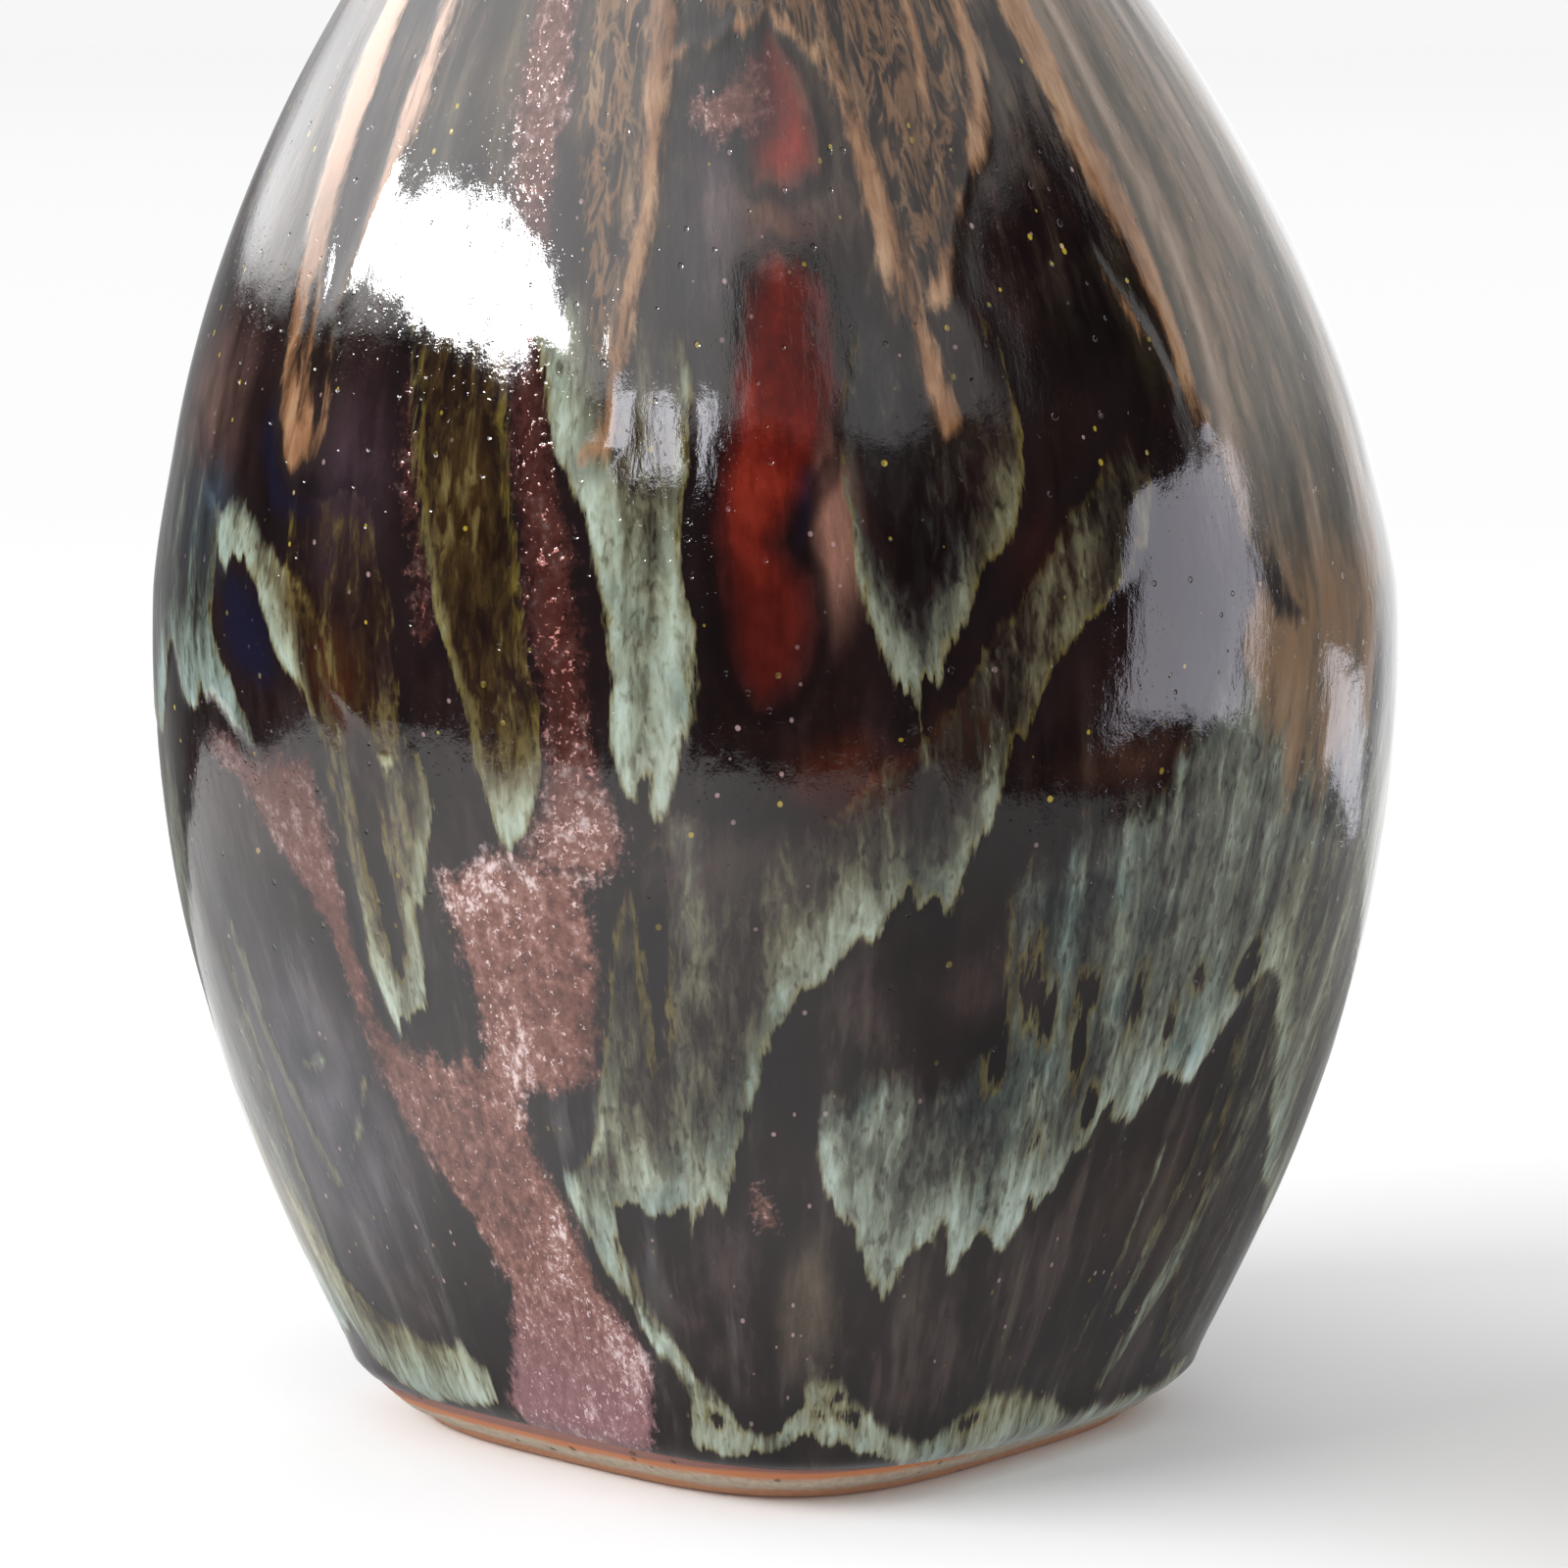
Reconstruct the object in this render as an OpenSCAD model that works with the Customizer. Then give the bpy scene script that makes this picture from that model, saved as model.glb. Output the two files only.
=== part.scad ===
// Ceramic bud vase: a thrown stoneware bottle with a squared foot, an iron glaze
// coat, ash and ochre glazes that ran down over it, and a liner glaze inside.
// Millimetres, +Z up. The front faces -Y and the foot stands on Z = 0.

/* [Body] */
// Widest diameter of the belly, over the glaze
belly_d = 86; // [83:1:90]
// Height of the widest point
belly_z = 60; // [57:1:63]
// Height where the shoulder turns into the sweep of the neck
shoulder_z = 104; // [102:1:106]
// Diameter at that height
shoulder_d = 51.6; // [50:0.2:53]
// How the wall falls away above the belly, where 2 is a parabola
shoulder_curve = 1.76; // [1.6:0.02:1.9]
// How the wall falls away below the belly
belly_curve = 1.52; // [1.44:0.02:1.7]
// Sideways drift of the thrown wall between the belly and the neck
lean = 3.2; // [0:0.2:4]

/* [Neck and lip] */
// Overall height
height = 142; // [140:1:146]
// Height of the narrowest part of the neck
neck_z = 130; // [129:1:132]
// Outside diameter of the neck
neck_d = 21.2; // [21:0.2:23]
// Outside diameter of the lip
lip_d = 27.6; // [26:0.2:30]
// Diameter of the glazed bore through the neck
bore_d = 16; // [15:0.2:16.2]

/* [Foot] */
// Width of the squared foot across its flats, where it stands
foot_w = 44; // [42:0.5:46]
// Height of the bevel around the foot
bevel_z = 3.5; // [3:0.1:4]
// Width across the flats at the top of the bevel
bevel_w = 51.2; // [49:0.2:53]
// Squareness of the foot, where 2 is round and more is squarer
foot_power = 3.5; // [2:0.1:4]
// Turn of the squared foot away from the front
foot_turn = 48; // [0:1:90]
// Height where the wall has become round
round_z = 70; // [60:1:80]
// Width of the ring that the foot stands on
foot_ring_w = 7; // [5:0.5:9]
// Depth of the recess inside that ring
recess_depth = 1.2; // [0.8:0.1:2]

/* [Wall and glazes] */
// Thickness of the fired clay wall
wall = 4.4; // [3.8:0.2:4.8]
// Thickness of the clay floor
floor_t = 7; // [6:0.5:9]
// Thickness of the iron glaze coat and of the liner glaze
glaze_t = 0.6; // [0.5:0.05:0.7]
// Extra thickness of the glaze bead along its lower edge
bead_t = 0.35; // [0.2:0.05:0.5]
// Height of the glaze's lower edge around most of the foot
glaze_line_z = 2.6; // [2.4:0.1:3]
// Thickness of the ash glaze runs on the iron glaze
run_t = 0.4; // [0.2:0.05:0.6]
// Thickness of the ochre trails on the iron glaze
trail_t = 0.3; // [0.2:0.05:0.5]

/* [Hidden] */

// Angles go round from the front (-Y) towards +X.
COLUMNS = 40;
ANGLES = [for (i = [0 : COLUMNS - 1]) i * 360 / COLUMNS];

LEAN_START_Z = 50;
MOUTH_R = lip_d / 2 - 2.4;
CLAY_BORE_R = bore_d / 2 + glaze_t;
CLAY_TOP_Z = height - glaze_t;
CAVITY_TOP_Z = neck_z - 10;
BORE_TOP_Z = neck_z + 3;
CAVITY_ROUNDING = 18;
// The foot's edge is softened by this much.
FOOT_EASE = 0.5;
// The runs and trails lie this far off the coat, so that no faces coincide.
SKIN_GAP = 0.01;
// Thickness of a run along its own edge.
RUN_EDGE_T = 0.08;
// The drips hang lowest at this angle, where the glaze nearly reaches the table.
DRIP_ANGLE = 52;

// How far up the glazed wall each ring lies, from the glaze's edge (0) to the lip (1).
RING_STEPS = concat(
    [0, 0.006, 0.016, 0.04],
    [for (i = [1 : 11]) i * 0.07],
    [for (i = [1 : 6]) 0.77 + i * 0.035]
);

// Each run or trail: angle and height of its top, angle and height of its tip,
// and its width near the top and near the tip, in degrees and millimetres.
ASH_RUNS = [
    [[-66, 66], [-58, 51], 5, 8],
    [[-50, 64], [-42, 32], 5, 8],
    [[-31, 76], [-24, 46], 4, 7],
    [[-17, 69], [-10, 49], 6, 9],
    [[12, 71], [13, 57], 12, 11],
    [[34, 70], [14, 42], 7, 6],
    [[1, 48], [-8, 20], 12, 12],
    [[46, 58], [16, 16], 16, 18],
    [[68, 62], [64, 14], 10, 9],
    [[-76, 48], [-52, 6], 6, 9],
    [[92, 76], [88, 40], 7, 10],
    [[108, 70], [106, 56], 5, 8],
    [[126, 66], [118, 22], 10, 13],
    [[146, 66], [148, 48], 6, 9],
    [[164, 60], [156, 16], 8, 12],
    [[178, 80], [176, 54], 7, 11],
    [[196, 64], [202, 26], 9, 12],
    [[212, 80], [210, 50], 6, 9],
    [[232, 62], [238, 14], 8, 12],
    [[256, 76], [260, 42], 7, 10],
    [[270, 70], [272, 30], 6, 8]
];
OCHRE_TRAILS = [
    [[-62, 108], [-48, 69], 4, 4.5],
    [[-44, 108], [-44, 76], 3, 3],
    [[-16, 104], [-15, 72], 3, 3.5],
    [[14, 106], [16, 74], 4, 4],
    [[37, 106], [45, 64], 5, 6],
    [[70, 108], [74, 72], 4, 4],
    [[118, 110], [122, 78], 3, 4],
    [[150, 106], [146, 70], 4, 4],
    [[192, 110], [190, 84], 3, 3.5],
    [[228, 108], [234, 74], 4, 4.5],
    [[268, 108], [272, 82], 3, 3.5]
];

function ease(t) = let(c = min(max(t, 0), 1)) c * c * (3 - 2 * c);
function blend(low, high, x) = ease((x - low) / (high - low));

// ---- The outline: half the glazed vase's width at each height ----
function lower_r(z) =
    (belly_d - (belly_d - bevel_w) * pow((belly_z - z) / (belly_z - bevel_z), belly_curve)) / 2;
function upper_r(z) =
    (belly_d - (belly_d - shoulder_d) * pow((z - belly_z) / (shoulder_z - belly_z), shoulder_curve)) / 2;
SHOULDER_SLOPE = -(belly_d - shoulder_d) / 2 * shoulder_curve / (shoulder_z - belly_z);
// A cubic that leaves the shoulder on its own slope and meets the neck upright.
function sweep_r(z) =
    let(h = neck_z - shoulder_z, t = (z - shoulder_z) / h, e = ease(t))
    shoulder_d / 2 * (1 - e) + neck_d / 2 * e + h * SHOULDER_SLOPE * t * pow(1 - t, 2);
function lip_r(z) = (neck_d + (lip_d - neck_d) * pow((z - neck_z) / (height - neck_z), 2)) / 2;
function outline_r(z) =
    z < bevel_z ? (foot_w + (bevel_w - foot_w) * z / bevel_z) / 2
    : z < belly_z ? lower_r(z)
    : z < shoulder_z ? upper_r(z)
    : z < neck_z ? sweep_r(z)
    : lip_r(z);

// ---- The plan: a superellipse at the foot, which turns into a circle ----
function plan_power(z) = 2 + (foot_power - 2) * (1 - ease(z / round_z));
function plan_factor(z, a) =
    let(n = plan_power(z), b = a - foot_turn)
    pow(pow(abs(cos(b)), n) + pow(abs(sin(b)), n), -1 / n);
function centre_x(z) = -lean * blend(LEAN_START_Z, neck_z, z);

// A point of the wall at an angle and a height, moved outwards by an offset.
function wall_point(a, z, offset, scale = 1) =
    let(r = (outline_r(z) + offset) * plan_factor(z, a) * scale)
    [centre_x(z) + r * sin(a), -r * cos(a), z];
function wall_ring(z, offset, scale = 1) = [for (a = ANGLES) wall_point(a, z, offset, scale)];
function round_ring(r, z) = [for (a = ANGLES) [centre_x(z) + r * sin(a), -r * cos(a), z]];

// ---- Solids from stacks of rings ----
// Triangles of a stack of rings whose points start at an index.
function skin(first, rings, inward = false) =
    [for (i = [0 : rings - 2], j = [0 : COLUMNS - 1])
        let(
            low = first + i * COLUMNS + j,
            low_next = first + i * COLUMNS + (j + 1) % COLUMNS,
            high = low + COLUMNS,
            high_next = low_next + COLUMNS
        )
        each inward
            ? [[low, high_next, high], [low, low_next, high_next]]
            : [[low, high, high_next], [low, high_next, low_next]]];
// Triangles between two rings of points.
function band(first, second) =
    [for (j = [0 : COLUMNS - 1])
        let(k = (j + 1) % COLUMNS)
        each [[first + j, second + j, second + k], [first + j, second + k, first + k]]];

// A solid through a stack of rings, closed by a flat face at each end.
module loft(rings) {
    top = (len(rings) - 1) * COLUMNS;
    polyhedron(
        points = [for (ring = rings) each ring],
        faces = concat(
            [[for (j = [0 : COLUMNS - 1]) j]],
            skin(0, len(rings)),
            [[for (j = [COLUMNS - 1 : -1 : 0]) top + j]]
        ),
        convexity = 6
    );
}

// A solid between an outer and an inner stack of as many rings.
module shell(outer, inner) {
    inside = len(outer) * COLUMNS;
    polyhedron(
        points = [for (ring = concat(outer, inner)) each ring],
        faces = concat(
            skin(0, len(outer)),
            skin(inside, len(inner), inward = true),
            band(inside - COLUMNS, 2 * inside - COLUMNS),
            band(inside, 0)
        ),
        convexity = 8
    );
}

// ---- Clay ----
// Height of the glaze's lower edge.
function glaze_line(a) =
    glaze_line_z - 1.5 * pow(max(0, cos(a - DRIP_ANGLE)), 3) + 0.6 * cos(a + 30);
function step_z(a, s) = glaze_line(a) * (1 - s) + CLAY_TOP_Z * s * 0.985;

function clay_wall_rings() = concat(
    [for (s = RING_STEPS) [for (a = ANGLES) wall_point(a, step_z(a, s), -glaze_t)]],
    [
        round_ring(lip_d / 2 - glaze_t - 0.4, CLAY_TOP_Z - 0.5),
        round_ring(lip_d / 2 - glaze_t - 1, CLAY_TOP_Z),
        round_ring(MOUTH_R - 1, CLAY_TOP_Z)
    ]
);
function foot_rings() = [
    wall_ring(0, -glaze_t - FOOT_EASE),
    [for (a = ANGLES) wall_point(a, glaze_line(a) * 0.3, -glaze_t)]
];

// The hollow inside the clay, or inside the liner at a thickness above 0.
module cavity(liner_t) {
    inset = -glaze_t - wall - liner_t;
    bottom_z = floor_t + liner_t;
    top_z = CAVITY_TOP_Z - liner_t;
    round_top_z = bottom_z + CAVITY_ROUNDING;
    loft(concat(
        [for (turn = [18 : 18 : 90])
            wall_ring(bottom_z + CAVITY_ROUNDING * (1 - cos(turn)), inset, sin(turn))],
        [for (i = [1 : 8]) wall_ring(round_top_z + (top_z - round_top_z) * i / 8, inset)]
    ));
    mouth(CLAY_BORE_R - liner_t, MOUTH_R - liner_t, CAVITY_TOP_Z - 2);
}

// The round bore of the neck and the flare of the mouth.
module mouth(bore_r, mouth_r, from_z) {
    flare_z = height - BORE_TOP_Z;
    translate([centre_x(neck_z), 0, 0])
        rotate_extrude($fn = 96)
            polygon(concat(
                [[0, from_z], [bore_r, from_z], [bore_r, BORE_TOP_Z]],
                [for (t = [0.2 : 0.2 : 1])
                    [bore_r + (mouth_r - bore_r) * t * t, BORE_TOP_Z + flare_z * t]],
                [[mouth_r, height + 5], [0, height + 5]]
            ));
}

module stoneware_body() {
    color([0.66, 0.5, 0.38])
        difference() {
            loft(concat(foot_rings(), clay_wall_rings()));
            cavity(0);
            foot_recess();
        }
}

module foot_recess() {
    outline = [for (p = wall_ring(0, -glaze_t - foot_ring_w)) [p[0], p[1]]];
    translate([0, 0, -1])
        linear_extrude(recess_depth + 1)
            polygon(outline);
}

// ---- Glazes ----
// The coat starts from nothing, swells into a bead and thins to its own thickness.
function coat_offset(s) =
    s == 0 ? -glaze_t : bead_t * (1 - blend(RING_STEPS[2], RING_STEPS[4], s));
function coat_rings() = concat(
    [for (s = RING_STEPS) [for (a = ANGLES) wall_point(a, step_z(a, s), coat_offset(s))]],
    [
        round_ring(lip_d / 2 - 0.3, height - 0.6),
        round_ring(lip_d / 2 - 1, height),
        round_ring(MOUTH_R - 1, height)
    ]
);

module iron_glaze() {
    color([0.16, 0.09, 0.08])
        difference() {
            shell(coat_rings(), clay_wall_rings());
            mouth(CLAY_BORE_R, MOUTH_R, neck_z);
        }
}

module liner_glaze() {
    color([0.3, 0.34, 0.3])
        intersection() {
            difference() {
                cavity(0);
                cavity(glaze_t);
            }
            translate([-belly_d, -belly_d, 0])
                cube([2 * belly_d, 2 * belly_d, height]);
        }
}

// Width of a run at a fraction of its length: pointed above, round at the tip.
function run_width(run, v) =
    let(w = run[2] + (run[3] - run[2]) * v)
    w * min(0.3 + 0.7 * ease(v / 0.25), 0.25 + 0.75 * sqrt(1 - pow(max(0, v - 0.8) / 0.2, 2)));
// A point of a run, at fractions of its length and of its half-width.
function run_point(run, v, u, offset) =
    let(
        z = run[0][1] + (run[1][1] - run[0][1]) * v,
        a = run[0][0] + (run[1][0] - run[0][0]) * v,
        half_turn = run_width(run, v) / 2 / outline_r(z) * 180 / PI
    )
    wall_point(a + half_turn * u, z, offset);

// One run or trail as a low, lens-shaped ridge that lies on the coat.
module ridge(run, thickness, rows, columns) {
    back = rows * columns;
    across = [for (j = [0 : columns - 1]) -1 + 2 * j / (columns - 1)];
    along = [for (i = [0 : rows - 1]) ease(i / (rows - 1))];
    face_points = [for (v = along, u = across)
        run_point(run, v, u,
            SKIN_GAP + RUN_EDGE_T + (thickness - RUN_EDGE_T) * (1 - u * u) * (0.4 + 0.6 * v))];
    back_points = [for (v = along, u = across) run_point(run, v, u, SKIN_GAP)];
    last = (rows - 1) * columns;
    polyhedron(
        points = concat(face_points, back_points),
        faces = concat(
            [for (i = [0 : rows - 2], j = [0 : columns - 2])
                let(p = i * columns + j, q = p + columns)
                each [[p, p + 1, q + 1], [p, q + 1, q]]],
            [for (i = [0 : rows - 2], j = [0 : columns - 2])
                let(p = back + i * columns + j, q = p + columns)
                each [[p, q + 1, p + 1], [p, q, q + 1]]],
            [for (i = [0 : rows - 2])
                let(p = i * columns, q = p + columns)
                each [[p, q, back + q], [p, back + q, back + p]]],
            [for (i = [0 : rows - 2])
                let(p = i * columns + columns - 1, q = p + columns)
                each [[p, back + q, q], [p, back + p, back + q]]],
            [for (j = [0 : columns - 2])
                each [[j, back + j + 1, j + 1], [j, back + j, back + j + 1]]],
            [for (j = [last : last + columns - 2])
                each [[j, j + 1, back + j + 1], [j, back + j + 1, back + j]]]
        ),
        convexity = 4
    );
}

module ash_glaze_runs() {
    color([0.55, 0.62, 0.5])
        for (run = ASH_RUNS)
            ridge(run, run_t, 9, 5);
}

module ochre_trails() {
    color([0.72, 0.42, 0.24])
        for (trail = OCHRE_TRAILS)
            ridge(trail, trail_t, 7, 4);
}

stoneware_body();
iron_glaze();
ash_glaze_runs();
ochre_trails();
liner_glaze();
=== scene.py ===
"""Looks of the ceramic bud vase: clay body, liner and one run-together glaze coat, with soft window light."""
import math

import bpy
import numpy as np
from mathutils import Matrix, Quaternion, Vector


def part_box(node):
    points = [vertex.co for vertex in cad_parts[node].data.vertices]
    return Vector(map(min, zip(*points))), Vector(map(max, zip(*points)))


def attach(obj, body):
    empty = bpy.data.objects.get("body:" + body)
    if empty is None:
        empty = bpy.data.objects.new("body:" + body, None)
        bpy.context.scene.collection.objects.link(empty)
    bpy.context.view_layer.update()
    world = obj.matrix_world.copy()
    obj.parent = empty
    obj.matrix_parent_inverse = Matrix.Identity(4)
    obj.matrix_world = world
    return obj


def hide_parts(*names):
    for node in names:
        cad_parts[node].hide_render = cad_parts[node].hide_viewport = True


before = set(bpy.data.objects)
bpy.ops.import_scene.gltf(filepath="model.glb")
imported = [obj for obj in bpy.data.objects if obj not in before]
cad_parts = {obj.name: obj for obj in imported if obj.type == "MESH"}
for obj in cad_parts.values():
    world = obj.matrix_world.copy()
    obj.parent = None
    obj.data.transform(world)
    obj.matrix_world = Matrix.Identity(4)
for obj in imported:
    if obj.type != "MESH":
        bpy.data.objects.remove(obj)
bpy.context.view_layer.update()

MM = 0.001

# ---------------- shape, in millimetres and degrees
# The same rules as the CAD model, so every skin lies where its CAD node lies.
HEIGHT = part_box("iron_glaze")[1][2] / MM
BELLY_D, BELLY_Z, BELLY_CURVE = 86.0, 60.0, 1.52
SHOULDER_D, SHOULDER_Z, SHOULDER_CURVE = 51.6, 104.0, 1.76
NECK_D, NECK_Z, LIP_D = 21.2, 130.0, 27.6
FOOT_W, BEVEL_W, BEVEL_Z = 44.0, 51.2, 3.5
FOOT_POWER, FOOT_TURN, ROUND_Z = 3.5, 48.0, 70.0
LEAN, LEAN_START_Z = 3.2, 50.0
FOOT_RING_W, RECESS_DEPTH = 7.0, 1.2
WALL, FLOOR_T, GLAZE_T = 4.4, 7.0, 0.6
BORE_R, BORE_TOP_Z = 8.0, NECK_Z + 3.0
MOUTH_R = LIP_D / 2 - 2.4
CAVITY_TOP_Z, CAVITY_ROUNDING = NECK_Z - 10.0, 18.0
GLAZE_LINE_Z = 2.6
DRIP_ANGLE, DRIP_DEPTH = 52.0, 1.5
EDGE_WAVE, EDGE_WAVE_TURN = 0.6, 30.0
SHOULDER_SLOPE = -(BELLY_D - SHOULDER_D) / 2 * SHOULDER_CURVE / (SHOULDER_Z - BELLY_Z)
ARC_PER_DEGREE = BELLY_D / 2 * math.pi / 180


def ease(t):
    """A smooth step from 0 to 1."""
    t = np.clip(t, 0.0, 1.0)
    return t * t * (3.0 - 2.0 * t)


def fade(value, low, high):
    """0 below low, 1 above high, smooth between them."""
    return ease((value - low) / (high - low))


def outline_r(z):
    """Radius of the outer wall at height z, before the plan is squared near the foot."""
    z = np.asarray(z, float)
    bevel = (FOOT_W + (BEVEL_W - FOOT_W) * z / BEVEL_Z) / 2
    below = np.clip((BELLY_Z - z) / (BELLY_Z - BEVEL_Z), 0, None)
    lower = (BELLY_D - (BELLY_D - BEVEL_W) * below ** BELLY_CURVE) / 2
    above = np.clip((z - BELLY_Z) / (SHOULDER_Z - BELLY_Z), 0, None)
    upper = (BELLY_D - (BELLY_D - SHOULDER_D) * above ** SHOULDER_CURVE) / 2
    rise = NECK_Z - SHOULDER_Z
    t = np.clip((z - SHOULDER_Z) / rise, 0, 1)
    sweep = SHOULDER_D / 2 * (1 - ease(t)) + NECK_D / 2 * ease(t) + rise * SHOULDER_SLOPE * t * (1 - t) ** 2
    flare = np.clip((z - NECK_Z) / (HEIGHT - NECK_Z), 0, 1)
    lip = (NECK_D + (LIP_D - NECK_D) * flare ** 2) / 2
    reaches = [z < BEVEL_Z, z < BELLY_Z, z < SHOULDER_Z, z < NECK_Z]
    return np.select(reaches, [bevel, lower, upper, sweep], lip)


def plan_factor(z, angle):
    """How far the plan is squared off: a circle at ROUND_Z and above, a soft square at the foot."""
    power = 2 + (FOOT_POWER - 2) * (1 - ease(np.asarray(z, float) / ROUND_Z))
    turn = np.radians(angle - FOOT_TURN)
    return (np.abs(np.cos(turn)) ** power + np.abs(np.sin(turn)) ** power) ** (-1 / power)


def centre_x(z):
    """The neck leans a little to the left."""
    return -LEAN * ease((np.asarray(z, float) - LEAN_START_Z) / (NECK_Z - LEAN_START_Z))


def wall_point(z, angle, radius):
    """A point in metres on the wall, angle 0 at the front and turning towards +X."""
    r = radius * plan_factor(z, angle)
    turn = np.radians(angle)
    x = centre_x(z) + r * np.sin(turn)
    y = -r * np.cos(turn)
    return np.stack([x, y, np.broadcast_to(z, x.shape)], axis=-1) * MM


def glaze_line(angle):
    """Height of the wavy edge where the glaze stops above the foot."""
    drip = DRIP_DEPTH * np.clip(np.cos(np.radians(angle - DRIP_ANGLE)), 0, None) ** 3
    return GLAZE_LINE_Z - drip + EDGE_WAVE * np.cos(np.radians(angle + EDGE_WAVE_TURN))


# ---------------- noise and distance fields
MARGIN = 10.0  # the noise reaches this many mm past the vase at both ends
FAR = 6.0  # distances from a shape are cut off at this many mm outside it


def soft_noise(angle, z, across, along, seed):
    """Smooth random values from -1 to 1 that close round the vase; across and along are cell sizes in mm."""
    columns = max(3, int(round(360 * ARC_PER_DEGREE / across)))
    rows = int(math.ceil((HEIGHT + 2 * MARGIN) / along)) + 2
    grid = np.random.default_rng(seed).uniform(-1, 1, (rows, columns))
    u = (angle % 360) / 360 * columns
    v = np.clip((z + MARGIN) / along, 0, rows - 1.001)
    column, row = np.floor(u).astype(int), np.floor(v).astype(int)
    fu, fv = ease(u - column), ease(v - row)
    right, left = (column + 1) % columns, column % columns
    low = grid[row, left] * (1 - fu) + grid[row, right] * fu
    high = grid[row + 1, left] * (1 - fu) + grid[row + 1, right] * fu
    return low * (1 - fv) + high * fv


def layered_noise(angle, z, across, along, seed, layers=3):
    """Several soft noises, each half the size and 0.6 the strength of the one before, about -1 to 1."""
    total = np.zeros(angle.shape)
    for layer in range(layers):
        size = 0.5 ** layer
        total += 0.6 ** layer * soft_noise(angle, z, across * size, along * size, seed + layer)
    return total


def nearest_turn(angle, middle):
    """The same angle, counted within half a turn of middle."""
    return middle + (angle - middle + 180) % 360 - 180


def unroll(angle, z, shape):
    """The shape's points and the grid, both laid flat in mm, and which of the grid is near the shape."""
    points = np.array(shape, float)
    xs, ys = points[:, 0] * ARC_PER_DEGREE, points[:, 1]
    flat = nearest_turn(angle, points[:, 0].mean()) * ARC_PER_DEGREE
    near = (flat > xs.min() - FAR) & (flat < xs.max() + FAR) & (z > ys.min() - FAR) & (z < ys.max() + FAR)
    return xs, ys, flat[near], z[near], near


def patch_distance(angle, z, outline):
    """Distance in mm from a closed outline of (angle, z) points, positive inside it."""
    xs, ys, px, py, near = unroll(angle, z, outline)
    best = np.full(px.shape, (2 * FAR) ** 2)
    inside = np.zeros(px.shape, bool)
    for x0, y0, x1, y1 in zip(xs, ys, np.roll(xs, -1), np.roll(ys, -1)):
        dx, dy = x1 - x0, y1 - y0
        t = np.clip(((px - x0) * dx + (py - y0) * dy) / (dx * dx + dy * dy), 0, 1)
        best = np.minimum(best, (px - x0 - t * dx) ** 2 + (py - y0 - t * dy) ** 2)
        if y0 != y1:
            inside ^= ((y0 > py) != (y1 > py)) & (px < x0 + (py - y0) / dy * dx)
    distance = np.sqrt(best)
    result = np.full(angle.shape, -FAR)
    result[near] = np.where(inside, distance, -np.minimum(distance, FAR))
    return result


def stroke_distance(angle, z, stroke):
    """Distance in mm from a tapered stroke of (angle, z, half width) points, positive inside it."""
    xs, ys, px, py, near = unroll(angle, z, stroke)
    best = np.full(px.shape, -FAR)
    for i in range(len(stroke) - 1):
        dx, dy = xs[i + 1] - xs[i], ys[i + 1] - ys[i]
        t = np.clip(((px - xs[i]) * dx + (py - ys[i]) * dy) / (dx * dx + dy * dy), 0, 1)
        gap = np.hypot(px - xs[i] - t * dx, py - ys[i] - t * dy)
        width, next_width = stroke[i][2], stroke[i + 1][2]
        best = np.maximum(best, width + (next_width - width) * t - gap)
    result = np.full(angle.shape, -FAR)
    result[near] = best
    return result


def oval_distance(angle, z, middle, height, across, up):
    """0 at the middle of an oval of the given half width and half height in mm, and 1 on its edge."""
    sideways = (nearest_turn(angle, middle) - middle) * ARC_PER_DEGREE / across
    return np.hypot(sideways, (z - height) / up)


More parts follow.
